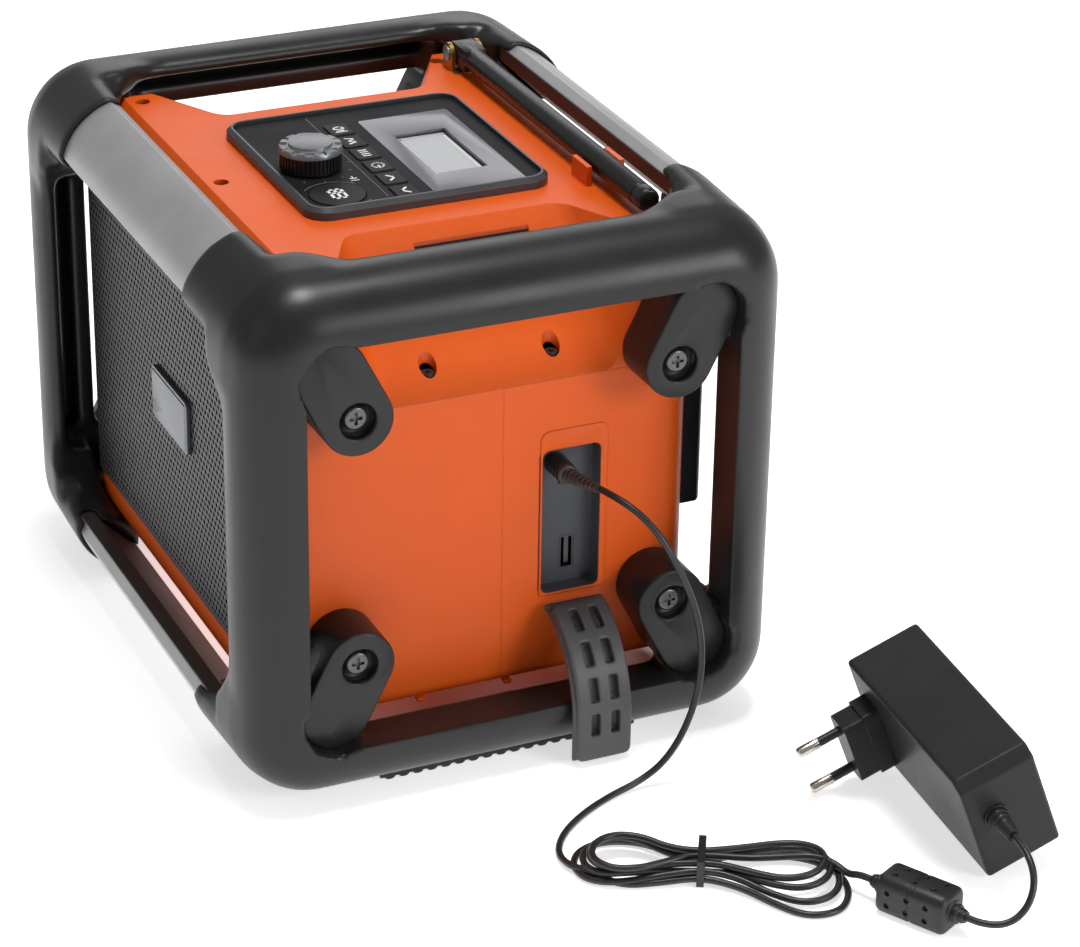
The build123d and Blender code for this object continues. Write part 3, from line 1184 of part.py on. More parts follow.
def make_cord(name, points):
    """A round cord along its path."""
    path = cord_path(points)
    section = Plane(origin=path @ 0, z_dir=path % 0) * Circle(CORD_RADIUS)
    tube = sweep(section, path=path)
    expected = math.pi * CORD_RADIUS ** 2 * path.length
    print(name, "length", round(path.length, 1), "volume ratio", round(tube.volume / expected, 4))
    add(name, tube)




def outside(points):
    """Points given from the crash frame's end face."""
    return [(END_X + x, y, z) for x, y, z in points]


# out from the end face, across, and the share of the socket's height
LEAD_FALL = [
    (11.0, 39.2, 101 / 105), (17.0, 44.8, 93 / 105), (20.6, 50.2, 81 / 105), (23.2, 55.2, 67 / 105),
    (25.2, 57.4, 51.5 / 105), (26.8, 55.8, 36 / 105), (27.4, 50.6, 21 / 105), (27.0, 43.0, 9 / 105),
]
falling = outside([(x, y, share * SOCKET_Z) for x, y, share in LEAD_FALL])
LEAD_ROUTE = [tuple(relief_end), tuple(LEAD_FIRST)] + falling + outside([
    (26.0, 33.5, 2.4), (29.5, 20.0, 1.5), (36.5, 6.0, 1.35), (45.5, -5.5, 1.4),
    (56.0, -12.5, 1.6), (66.0, -12.5, 2.2), (73.0, -8.0, 3.2),
])
make_cord("cord_lead", LEAD_ROUTE)


WAIST = (END_X + HANK_X, HANK_Y)


def lobe(x, y, length, width, turn):
    """One end of the hank, an oval pad lying flat, placed from the waist."""
    outline = Pos(WAIST[0] + x, WAIST[1] + y) * Rot(0, 0, turn) * Ellipse(length / 2, width / 2)
    pad = extrude(outline, HANK_HEIGHT)
    return fillet(pad.edges(), 2.0)


hank = lobe(*LOBE_LEFT) + lobe(*LOBE_RIGHT)
hank += Pos(*WAIST, TIE_THICK + HANK_LIFT) * Rot(0, 0, HANK_TURN) * Box(*HANK_NECK)
add("cord_hank", hank)
neck_length, neck_width, neck_height = HANK_NECK
tie_loop = Rectangle(neck_width + 2 * TIE_THICK, neck_height + 2 * TIE_THICK)
tie_loop -= Rectangle(neck_width, neck_height)
tie_plane = Plane(
    origin=(*WAIST, TIE_THICK + HANK_LIFT),
    x_dir=(-math.sin(math.radians(HANK_TURN)), math.cos(math.radians(HANK_TURN)), 0),
    z_dir=(math.cos(math.radians(HANK_TURN)), math.sin(math.radians(HANK_TURN)), 0),
)
add("twist_tie", extrude(tie_plane * tie_loop, TIE_WIDTH / 2, both=True))

FERRITE_FROM = Vector(END_X + FERRITE_X, FERRITE_Y, FERRITE_Z)
FERRITE_DIR = Vector(0.877, 0.48, 0).normalized()
ferrite_start = FERRITE_FROM + FERRITE_DIR * FERRITE_SLEEVE_IN
ferrite_stop = ferrite_start + FERRITE_DIR * FERRITE_LENGTH
sleeve_stop = ferrite_stop + FERRITE_DIR * FERRITE_SLEEVE_OUT
block_face = Plane(origin=ferrite_start, x_dir=(-FERRITE_DIR.Y, FERRITE_DIR.X, 0), z_dir=FERRITE_DIR)
bead = extrude(block_face * Rectangle(FERRITE_SIDE, FERRITE_SIDE), FERRITE_LENGTH)
bead = fillet(bead.edges(), FERRITE_CORNER)
for base, direction, length in ((ferrite_start, -FERRITE_DIR, FERRITE_SLEEVE_IN),
                                (ferrite_stop, FERRITE_DIR, FERRITE_SLEEVE_OUT)):
    neck_plane = Plane(origin=base - direction, z_dir=direction)
    bead += neck_plane * Pos(0, 0, (length + 1) / 2) * Cone(3.8, 2.2, length + 1)
add("ferrite_bead", bead)
LINK_ROUTE = outside([(108.5, 69.5, 4.0), (112.0, 71.0, 5.2)]) + [
    tuple(FERRITE_FROM - FERRITE_DIR * 5), tuple(FERRITE_FROM),
]
make_cord("cord_link", LINK_ROUTE)

# ---------------------------------------------------------------- plug-in power supply
adapter_place = Pos(END_X + ADAPTER_X, ADAPTER_Y, ADAPTER_Z) * Rot(0, 0, ADAPTER_TURN)
adapter_place = adapter_place * Rot(0, ADAPTER_ROLL, 0) * Rot(ADAPTER_TILT, 0, 0)
case = bar(0, ADAPTER_LENGTH, 0, ADAPTER_THICK, 0, ADAPTER_HEIGHT)
bevel_edge = case.edges().filter_by(Axis.Y).group_by(Axis.Z)[-1].sort_by(Axis.X)[-1]
case = chamfer(bevel_edge, ADAPTER_BEVEL)
case = fillet(case.edges(), ADAPTER_EDGE)
relief_middle = ADAPTER_LENGTH - 1 + (ADAPTER_RELIEF_LENGTH + 1) / 2
case += Pos(relief_middle, ADAPTER_RELIEF_Y, ADAPTER_RELIEF_Z) * Rot(0, 90, 0) * Cone(
    4.4, 2.4, ADAPTER_RELIEF_LENGTH + 1
)
add("adapter_case", adapter_place * case)

root_x, root_z, root_y = MAINS_ROOT
body_x, body_z, body_y = MAINS_BODY
mains = bar(MAINS_X - root_x / 2, MAINS_X + root_x / 2, -root_y, 0,
            MAINS_Z - root_z / 2, MAINS_Z + root_z / 2)
mains = fillet(mains.edges().filter_by(Axis.Y), 2)
nose = bar(MAINS_X - body_x / 2, MAINS_X + body_x / 2, -root_y - body_y, -root_y,
           MAINS_Z - body_z / 2, MAINS_Z + body_z / 2)
nose = fillet(nose.edges().filter_by(Axis.Y), 2)
add("mains_plug", adapter_place * (mains + nose))
pin_root = -root_y - body_y
mains_pins = []
for side in (-1, 1):
    z = MAINS_Z + side * MAINS_PIN_SPACING / 2
    pin = rod_y(MAINS_PIN, MAINS_X, pin_root - MAINS_PIN_LENGTH, pin_root, z)
    mains_pins.append(adapter_place * fillet(pin.edges().sort_by(Axis.Y)[0], 1.2))
add("mains_pins", *mains_pins)

relief_tip = ADAPTER_LENGTH + ADAPTER_RELIEF_LENGTH
tail_start = (adapter_place * Pos(relief_tip, ADAPTER_RELIEF_Y, ADAPTER_RELIEF_Z)).position
tail_next = (adapter_place * Pos(relief_tip + 5, ADAPTER_RELIEF_Y, ADAPTER_RELIEF_Z)).position
print("tail leaves the adapter at", tail_start, tail_next)
print("ferrite ends", sleeve_stop)
TAIL_ROUTE = [tuple(tail_start), tuple(tail_next)] + outside([
    (153.5, 116.6, 24.6), (158.6, 115.6, 21.2), (161.8, 113.6, 16.6), (163.6, 110.2, 12.2),
    (164.0, 105.6, 9.0), (162.6, 100.6, 7.6),
]) + [tuple(sleeve_stop + FERRITE_DIR * 5.5), tuple(sleeve_stop)]
make_cord("cord_tail", TAIL_ROUTE)

os.makedirs("parts", exist_ok=True)
for name, shape in PARTS.items():
    export_step(shape, "parts/" + name + ".step")
print(len(PARTS), "nodes")
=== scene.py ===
"""Looks of a jobsite radio and its plug-in power supply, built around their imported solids.

Lengths are written in millimetres and turned to metres where they reach Blender. X runs from
end frame to end frame, -Y is the speaker side and +Z is up, as in the solids.
"""
from __future__ import annotations

import logging
import math
from collections.abc import Callable, Iterable, Sequence
from dataclasses import dataclass, field
from enum import Enum

import bmesh
import bpy
from mathutils import Matrix, Vector


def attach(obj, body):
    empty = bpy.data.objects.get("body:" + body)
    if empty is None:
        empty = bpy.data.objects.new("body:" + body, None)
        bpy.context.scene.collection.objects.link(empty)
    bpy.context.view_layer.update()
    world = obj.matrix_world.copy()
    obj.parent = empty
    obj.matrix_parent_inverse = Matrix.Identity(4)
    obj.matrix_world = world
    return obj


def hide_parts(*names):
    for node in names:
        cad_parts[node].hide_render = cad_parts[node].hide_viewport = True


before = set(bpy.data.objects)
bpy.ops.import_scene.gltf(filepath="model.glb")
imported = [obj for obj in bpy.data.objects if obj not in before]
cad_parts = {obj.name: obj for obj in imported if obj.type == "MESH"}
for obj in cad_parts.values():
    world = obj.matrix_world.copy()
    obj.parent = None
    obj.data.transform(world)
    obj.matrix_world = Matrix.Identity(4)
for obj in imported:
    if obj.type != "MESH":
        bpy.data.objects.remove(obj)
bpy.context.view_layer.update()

LOG = logging.getLogger("jobsite_radio")
MM = 0.001
SHARP = 30.0                      # degrees from which an edge is rounded
Piece = bpy.types.Object
Material = bpy.types.Material
Tree = bpy.types.NodeTree
Node = bpy.types.Node
Socket = bpy.types.NodeSocket
Point = tuple[float, float, float]
Pair = tuple[float, float]
Rect = tuple[float, float, float, float]
Stroke = tuple[float, float, float, float]
Test = Callable[[Vector, Vector], bool]


# ------------------------------------------------------------------ node materials
def linear(hex_colour: str) -> tuple[float, float, float, float]:
    """Turn an sRGB hex colour to the linear values that a shader takes.

    Args:
        hex_colour: six hex digits.

    Returns:
        Linear red, green, blue and an alpha of one.
    """
    channels = [int(hex_colour[i:i + 2], 16) / 255 for i in (0, 2, 4)]
    red, green, blue = (c / 12.92 if c <= 0.04045 else ((c + 0.055) / 1.055) ** 2.4 for c in channels)
    return red, green, blue, 1.0


def add_node(
    tree: Tree,
    kind: str,
    links: dict[str | int, Socket] | None = None,
    values: dict[str | int, object] | None = None,
    **settings: object,
) -> Node:
    """Add one node with its settings, socket values and links.

    Args:
        tree: the node tree.
        kind: the node's Blender type name.
        links: input socket to the output that feeds it.
        values: input socket to its value.
        settings: attributes of the node itself.

    Returns:
        The new node.
    """
    node = tree.nodes.new(kind)
    for name, value in settings.items():
        setattr(node, name, value)
    for key, value in (values or {}).items():
        node.inputs[key].default_value = value
    for key, output in (links or {}).items():
        tree.links.new(output, node.inputs[key])
    return node


def new_material(name: str, **principled: object) -> tuple[Material, Tree, Node]:
    """Make a node material with its Principled shader's plain sockets set.

    Args:
        name: material name.
        principled: socket name, with underscores for spaces, to value.

    Returns:
        The material, its node tree and its Principled shader.
    """
    material = bpy.data.materials.new(name)
    material.use_nodes = True
    tree = material.node_tree
    shader = tree.nodes["Principled BSDF"]
    for key, value in principled.items():
        shader.inputs[key.replace("_", " ")].default_value = value
    return material, tree, shader


def grain(tree: Tree, size_mm: float, detail: float = 2.0, stretch: Point = (1, 1, 1)) -> Node:
    """Add a noise whose grains are about the given size on the real object.

    Args:
        tree: the node tree.
        size_mm: grain width in millimetres.
        detail: octaves of the noise.
        stretch: factor on each axis, above one for a shorter grain.

    Returns:
        The noise node.
    """
    place = add_node(tree, "ShaderNodeTexCoord")
    scaled = add_node(tree, "ShaderNodeMapping", {"Vector": place.outputs["Object"]}, {"Scale": stretch})
    return add_node(
        tree, "ShaderNodeTexNoise", {"Vector": scaled.outputs["Vector"]},
        {"Scale": 1 / (size_mm * MM), "Detail": detail, "Roughness": 0.55},
    )


def spread(tree: Tree, source: Socket, low: float, high: float) -> Node:
    """Add a map range that carries a noise's middle band to low..high.

    Args:
        tree: the node tree.
        source: a value of about 0.3 to 0.7.
        low: result at 0.3.
        high: result at 0.7.

    Returns:
        The map range node.
    """
    return add_node(
        tree, "ShaderNodeMapRange", {"Value": source},
        {"From Min": 0.3, "From Max": 0.7, "To Min": low, "To Max": high},
    )


def rounded_normal(tree: Tree, shader: Node, radius_mm: float, height: Socket, depth_mm: float) -> None:
    """Give edges a small round and the surface its relief.

    Args:
        tree: the node tree.
        shader: the Principled shader.
        radius_mm: radius that moulded or folded edges seem to have.
        height: relief from nought to one.
        depth_mm: depth of the relief.
    """
    edge = add_node(tree, "ShaderNodeBevel", values={"Radius": radius_mm * MM}, samples=4)
    bump = add_node(
        tree, "ShaderNodeBump", {"Height": height, "Normal": edge.outputs["Normal"]},
        {"Distance": depth_mm * MM, "Strength": 1.0},
    )
    tree.links.new(bump.outputs["Normal"], shader.inputs["Normal"])


@dataclass(frozen=True)
class MouldedPlastic:
    """Injection moulded plastic with a spark-eroded grain from the tool."""

    name: str
    colour: str
    roughness: float = 0.42
    grain_mm: float = 0.55        # a real grain is nearer 0.2 mm: drawn coarser, so that it shows
    grain_depth_mm: float = 0.02
    edge_mm: float = 0.5
    mottle: float = 0.06
    scuff: str = ""
    scuff_amount: float = 0.0
    specular: float = 0.5
    cloud_mm: float = 38.0        # patches of slightly other shade and sheen
    rubbed_mm: float = 14.0
    scratch_mm: float = 1.6

    def build(self) -> Material:
        """Make the material.

        Returns:
            The node material.
        """
        material, tree, shader = new_material(self.name, IOR=1.5, Specular_IOR_Level=self.specular)
        base = linear(self.colour)
        cloud = grain(tree, self.cloud_mm, 3.0)
        hue = add_node(
            tree, "ShaderNodeHueSaturation",
            {"Value": spread(tree, cloud.outputs["Fac"], 1 - self.mottle, 1 + self.mottle).outputs["Result"]},
            {"Color": base},
        )
        colour = hue.outputs["Color"]
        if self.scuff:
            # rubbed places: where broad patches and fine scratches meet
            patch = grain(tree, self.rubbed_mm, 4.0)
            scratch = grain(tree, self.scratch_mm, 3.0, (1, 1, 6))
            both = add_node(
                tree, "ShaderNodeMath",
                {0: spread(tree, patch.outputs["Fac"], -0.6, 1.0).outputs["Result"],
                 1: spread(tree, scratch.outputs["Fac"], -0.2, 1.0).outputs["Result"]},
                operation="MULTIPLY", use_clamp=True,
            )
            faint = add_node(
                tree, "ShaderNodeMath", {0: both.outputs[0]}, {1: self.scuff_amount}, operation="MULTIPLY",
            )
            mix = add_node(
                tree, "ShaderNodeMix", {0: faint.outputs[0], 6: colour}, {7: linear(self.scuff)},
                data_type="RGBA",
            )
            colour = mix.outputs[2]
        tree.links.new(colour, shader.inputs["Base Color"])
        fine = grain(tree, self.grain_mm, 1.0)
        rough = spread(tree, cloud.outputs["Fac"], self.roughness - 0.05, self.roughness + 0.05)
        tree.links.new(rough.outputs["Result"], shader.inputs["Roughness"])
        rounded_normal(tree, shader, self.edge_mm, fine.outputs["Fac"], self.grain_depth_mm)
        return material


@dataclass(frozen=True)
class MetalFinish:
    """Metal part: plated, brushed or painted, by its colour, metalness and grain direction."""

    name: str
    colour: str
    metallic: float = 1.0
    roughness: float = 0.3
    grain_mm: float = 0.5         # brushing and flake are finer: drawn coarser, so that they show
    stretch: Point = (1, 1, 1)
    depth_mm: float = 0.004
    edge_mm: float = 0.2
    coat: float = 0.0
    cloud_mm: float = 24.0

    def build(self) -> Material:
        """Make the material.

        Returns:
            The node material.
        """
        material, tree, shader = new_material(self.name, Metallic=self.metallic, Coat_Weight=self.coat)
        fine = grain(tree, self.grain_mm, 2.0, self.stretch)
        cloud = grain(tree, self.cloud_mm, 2.0)
        hue = add_node(
            tree, "ShaderNodeHueSaturation",
            {"Value": spread(tree, cloud.outputs["Fac"], 0.93, 1.07).outputs["Result"]},
            {"Color": linear(self.colour)},
        )
        tree.links.new(hue.outputs["Color"], shader.inputs["Base Color"])
        rough = spread(tree, fine.outputs["Fac"], self.roughness - 0.06, self.roughness + 0.08)
        tree.links.new(rough.outputs["Result"], shader.inputs["Roughness"])
        rounded_normal(tree, shader, self.edge_mm, fine.outputs["Fac"], self.depth_mm)
        return material


@dataclass(frozen=True)
class CordJacket:
    """Extruded PVC jacket of a light lead, satin, with the faint waves of being coiled."""

    name: str = "pvc_cord_jacket"
    colour: str = "1b1b1c"
    roughness: float = 0.38
    wave_mm: float = 5.0
    grain_mm: float = 0.6
    grain_depth_mm: float = 0.02

    def build(self) -> Material:
        """Make the material.

        Returns:
            The node material.
        """
        material, tree, shader = new_material(self.name, IOR=1.52)
        wave = grain(tree, self.wave_mm, 3.0)
        hue = add_node(
            tree, "ShaderNodeHueSaturation",
            {"Value": spread(tree, wave.outputs["Fac"], 0.8, 1.3).outputs["Result"]},
            {"Color": linear(self.colour)},
        )
        tree.links.new(hue.outputs["Color"], shader.inputs["Base Color"])
        rough = spread(tree, wave.outputs["Fac"], self.roughness - 0.06, self.roughness + 0.1)
        tree.links.new(rough.outputs["Result"], shader.inputs["Roughness"])
        fine = grain(tree, self.grain_mm, 2.0)
        bump = add_node(
            tree, "ShaderNodeBump", {"Height": fine.outputs["Fac"]}, {"Distance": self.grain_depth_mm * MM},
        )
        tree.links.new(bump.outputs["Normal"], shader.inputs["Normal"])
        return material


@dataclass(frozen=True)
class DisplayFace:
    """Reflective liquid crystal face: pale, with the fine grid of its dots."""

    name: str = "liquid_crystal_face"
    colour: str = "eff1f0"
    other: str = "e9ecea"
    gap: str = "dce0de"
    dot_mm: float = 0.45
    cloud_mm: float = 20.0

    def build(self) -> Material:
        """Make the material.

        Returns:
            The node material.
        """
        material, tree, shader = new_material(
            self.name, IOR=1.5, Coat_Weight=0.6, Coat_Roughness=0.04, Roughness=0.4,
        )
        place = add_node(tree, "ShaderNodeTexCoord")
        dots = add_node(
            tree, "ShaderNodeTexBrick", {"Vector": place.outputs["Object"]},
            {"Scale": 1 / (2 * self.dot_mm * MM), "Mortar Size": 0.05, "Brick Width": 0.5, "Row Height": 0.5,
             "Color1": linear(self.colour), "Color2": linear(self.other), "Mortar": linear(self.gap)},
            offset=0.0,
        )
        cloud = grain(tree, self.cloud_mm, 1.0)
        hue = add_node(
            tree, "ShaderNodeHueSaturation",
            {"Color": dots.outputs["Color"],
             "Value": spread(tree, cloud.outputs["Fac"], 0.96, 1.04).outputs["Result"]},
        )
        tree.links.new(hue.outputs["Color"], shader.inputs["Base Color"])
        return material


class Finish(Enum):
    """The finishes of this radio, by what the real part is made of."""

    # glass-filled polypropylene: near black, satin, catches broad soft highlights
    FRAME_PP = MouldedPlastic(
        "satin_polypropylene_frame", "1e1e1f", 0.33, 0.7, 0.02, 1.0, 0.05, "2c2c2e", 0.06, 0.36,
    )
    # the rails' cores: matt and without highlights, drawn lighter and reddish brown as painted bounce light
    # and painted orange reflection in their deep shade
    CORE_PP = MouldedPlastic("matt_core_painted_orange_bounce", "3f3836", 0.50, 0.6, 0.03, 0.4)
    # mass-coloured ABS: even orange with a fine grain that keeps reflections soft
    HOUSING_ABS = MouldedPlastic(
        "orange_abs_housing", "d9560f", 0.44, 0.6, 0.015, 0.7, 0.02, "e8692e", 0.12, 0.34,
    )
    # the control unit's bezel: a lighter, shinier rim round the dark panel
    TRIM_ABS = MouldedPlastic("grey_abs_bezel", "38393c", 0.34, 0.5, 0.010, 0.5, 0.04)
    # textured panel: dark and almost without reflections, so its marks stand out
    PANEL_ABS = MouldedPlastic("dark_abs_panel", "191a1c", 0.55, 0.5, 0.012, 0.3, 0.04, "", 0.0, 0.1)
    # silicone keys: dull as the panel, told from it by their edges
    KEY_RUBBER = MouldedPlastic("dark_silicone_key", "1b1c1e", 0.54, 0.5, 0.01, 0.3, 0.04, "", 0.0, 0.2)
    # the knob's skirt: black, with a glint on each rib
    KNOB_ABS = MouldedPlastic("black_abs_knob", "141413", 0.34, 0.5, 0.01, 0.25, 0.05)
    # the recess: blue-black plastic drawn as a lighter cool grey, painted light that keeps its floor readable
    # in the shade
    TRAY_ABS = MouldedPlastic("blue_black_tray_painted_light", "404247", 0.44, 0.6, 0.02, 0.4)
    # nitrile flap: black rubber drawn greyer than the plastics, painted light in place of light from below;
    # darker rubbed patches
    FLAP_RUBBER = MouldedPlastic("black_nitrile_flap", "484849", 0.42, 0.8, 0.02, 0.4, 0.08, "38383a", 0.3)
    # adapter case: black with a coarser spark-eroded grain
    ADAPTER_ABS = MouldedPlastic("black_abs_adapter", "2c2c2e", 0.36, 0.9, 0.03, 0.6, 0.06, "", 0.0, 0.15)
    # soft sleeves and reliefs: deep black, satin
    SLEEVE_PVC = MouldedPlastic("black_pvc_sleeve", "171717", 0.42, 0.6, 0.02, 0.3)
    # the plug's softer PVC: a brown-black
    PLUG_PVC = MouldedPlastic("brown_black_pvc_plug", "332b29", 0.45, 0.6, 0.02, 0.3)
    # overmoulded ferrite: black with a cloudy, coarse skin
    FERRITE_PVC = MouldedPlastic("black_pvc_overmould", "1a1a1b", 0.44, 1.6, 0.06, 0.6, 0.12)
    # printed signs, white on the keys and grey on the panel
    INK_WHITE = MouldedPlastic("white_screen_ink", "d9dadb", 0.5, 0.4, 0.004, 0.05)
    INK_GREY = MouldedPlastic("grey_screen_ink", "6b6d72", 0.5, 0.4, 0.004, 0.05)
    # printed grey mask behind clear acrylic: lavender grey under a glossy skin
    WINDOW_MASK = MouldedPlastic("printed_acrylic_mask", "6f6d73", 0.22, 2.0, 0.001, 0.2, 0.02)
    # the display's surround: a pale grey step round the face
    LCD_RIM = MouldedPlastic("grey_display_rim", "a6a8aa", 0.4, 0.6, 0.004, 0.2)
    # loosely woven cloth behind the grille: swallows light, so holes in front of it read as holes; the same
    # finish is laid in the vent slits as painted shade
    SPEAKER_CLOTH = MouldedPlastic("black_cloth_and_slit_shade", "0c0c0c", 0.9, 0.8, 0.1, 0.1, 0.3)
    # coated paper: black, dull and fibrous
    CONE_PAPER = MouldedPlastic("coated_paper_cone", "19191a", 0.7, 1.2, 0.08, 0.3)
    # shrink film round the cells: blue and shiny
    BATTERY_WRAP = MouldedPlastic("blue_shrink_wrap", "1d3f7a", 0.25, 6.0, 0.02, 0.6, 0.1)
    # circuit boards: solder-resist green
    BOARD_RESIN = MouldedPlastic("green_board_resin", "1d5a34", 0.35, 1.0, 0.02, 0.2, 0.1)
    # the speaker's magnet: sintered, charcoal
    FERRITE_CORE = MouldedPlastic("sintered_ferrite", "2a2a2c", 0.6, 0.8, 0.05, 0.4)
    # aluminium-look paint on the rails: metal flake in a satin lacquer
    RAIL_PAINT = MetalFinish("silver_grey_rail_paint", "b6b6b7", 0.6, 0.35, 0.35, (1, 1, 1), 0.004, 0.5)
    # powder coat on the perforated steel: dark grey webs with a low, even sheen
    GRILLE_COAT = MetalFinish("powder_coated_steel_sheet", "303032", 0.2, 0.42, 0.4, (1, 1, 1), 0.006, 0.12)
    # the badge: aluminium brushed along its length, so its glare runs across
    BADGE_METAL = MetalFinish("brushed_aluminium_badge", "808286", 0.9, 0.34, 0.35, (0.06, 1, 1), 0.006, 0.2)
    # the frame's screws: dark grey heads that catch a glint in their bores
    SCREW_BLACK = MetalFinish("black_oxide_steel", "606061", 0.9, 0.30, 0.6, (1, 1, 1), 0.01, 0.2)
    # pins, shaft and speaker basket: plain bright plate
    SCREW_ZINC = MetalFinish("zinc_plated_steel", "a2a3a5", 1.0, 0.34, 0.6, (1, 1, 1), 0.01, 0.2)
    # the USB shell's sheet: tin drawn dull grey as painted shade of the recess round its edge
    USB_TIN = MetalFinish("tin_plate_painted_recess_shade", "5c5c5e", 0.9, 0.34, 0.6, (1, 1, 1), 0.006, 0.1)
    # a screw head deep in an orange bore, drawn dark brown: painted shade of the bore and painted orange
    # reflection from its walls
    SCREW_DEEP = MetalFinish("screw_head_painted_bore_shade", "35201a", 0.2, 0.60, 0.6, (1, 1, 1), 0.01, 0.2)
    # the knob's crown and cap: thin chrome over a worked, uneven surface
    KNOB_SILVER = MetalFinish("satin_chrome_ring", "7f8184", 0.6, 0.34, 1.1, (1, 1, 1), 0.03, 0.15)
    KNOB_CAP = MetalFinish("spun_grey_cap", "66686b", 0.5, 0.38, 1.4, (1, 1, 1), 0.03, 0.15)
    # the bright spot in the middle of the cap
    KNOB_DOT = MetalFinish("bright_cap_dot", "dcdddd", 0.4, 0.30, 0.6, (1, 1, 1), 0.002, 0.2)
    # lacquered tube: black, with one long highlight
    ANTENNA_COAT = MetalFinish("black_lacquered_tube", "222223", 0.3, 0.30, 0.5, (0.2, 1, 1), 0.003, 0.2)
    # the antenna's bracket: bare brass, the one warm metal
    BRASS = MetalFinish("plain_brass", "b08d4f", 1.0, 0.34, 0.5, (1, 1, 1), 0.006, 0.2)
    # the mains pins' tips: bright, slightly warm plate
    NICKEL = MetalFinish("nickel_plated_brass", "c9c5be", 1.0, 0.22, 0.5, (1, 1, 1), 0.004, 0.2)
    CORD = CordJacket()
    LCD = DisplayFace()

    def material(self) -> Material:
        """Return this finish's material, making it at its first use."""
        made = bpy.data.materials.get(self.value.name)
        return made if made is not None else self.value.build()


# ------------------------------------------------------------------ workbench
def metres(point: Sequence[float]) -> Vector:
    """Turn a point in millimetres to metres."""
    return Vector(point) * MM


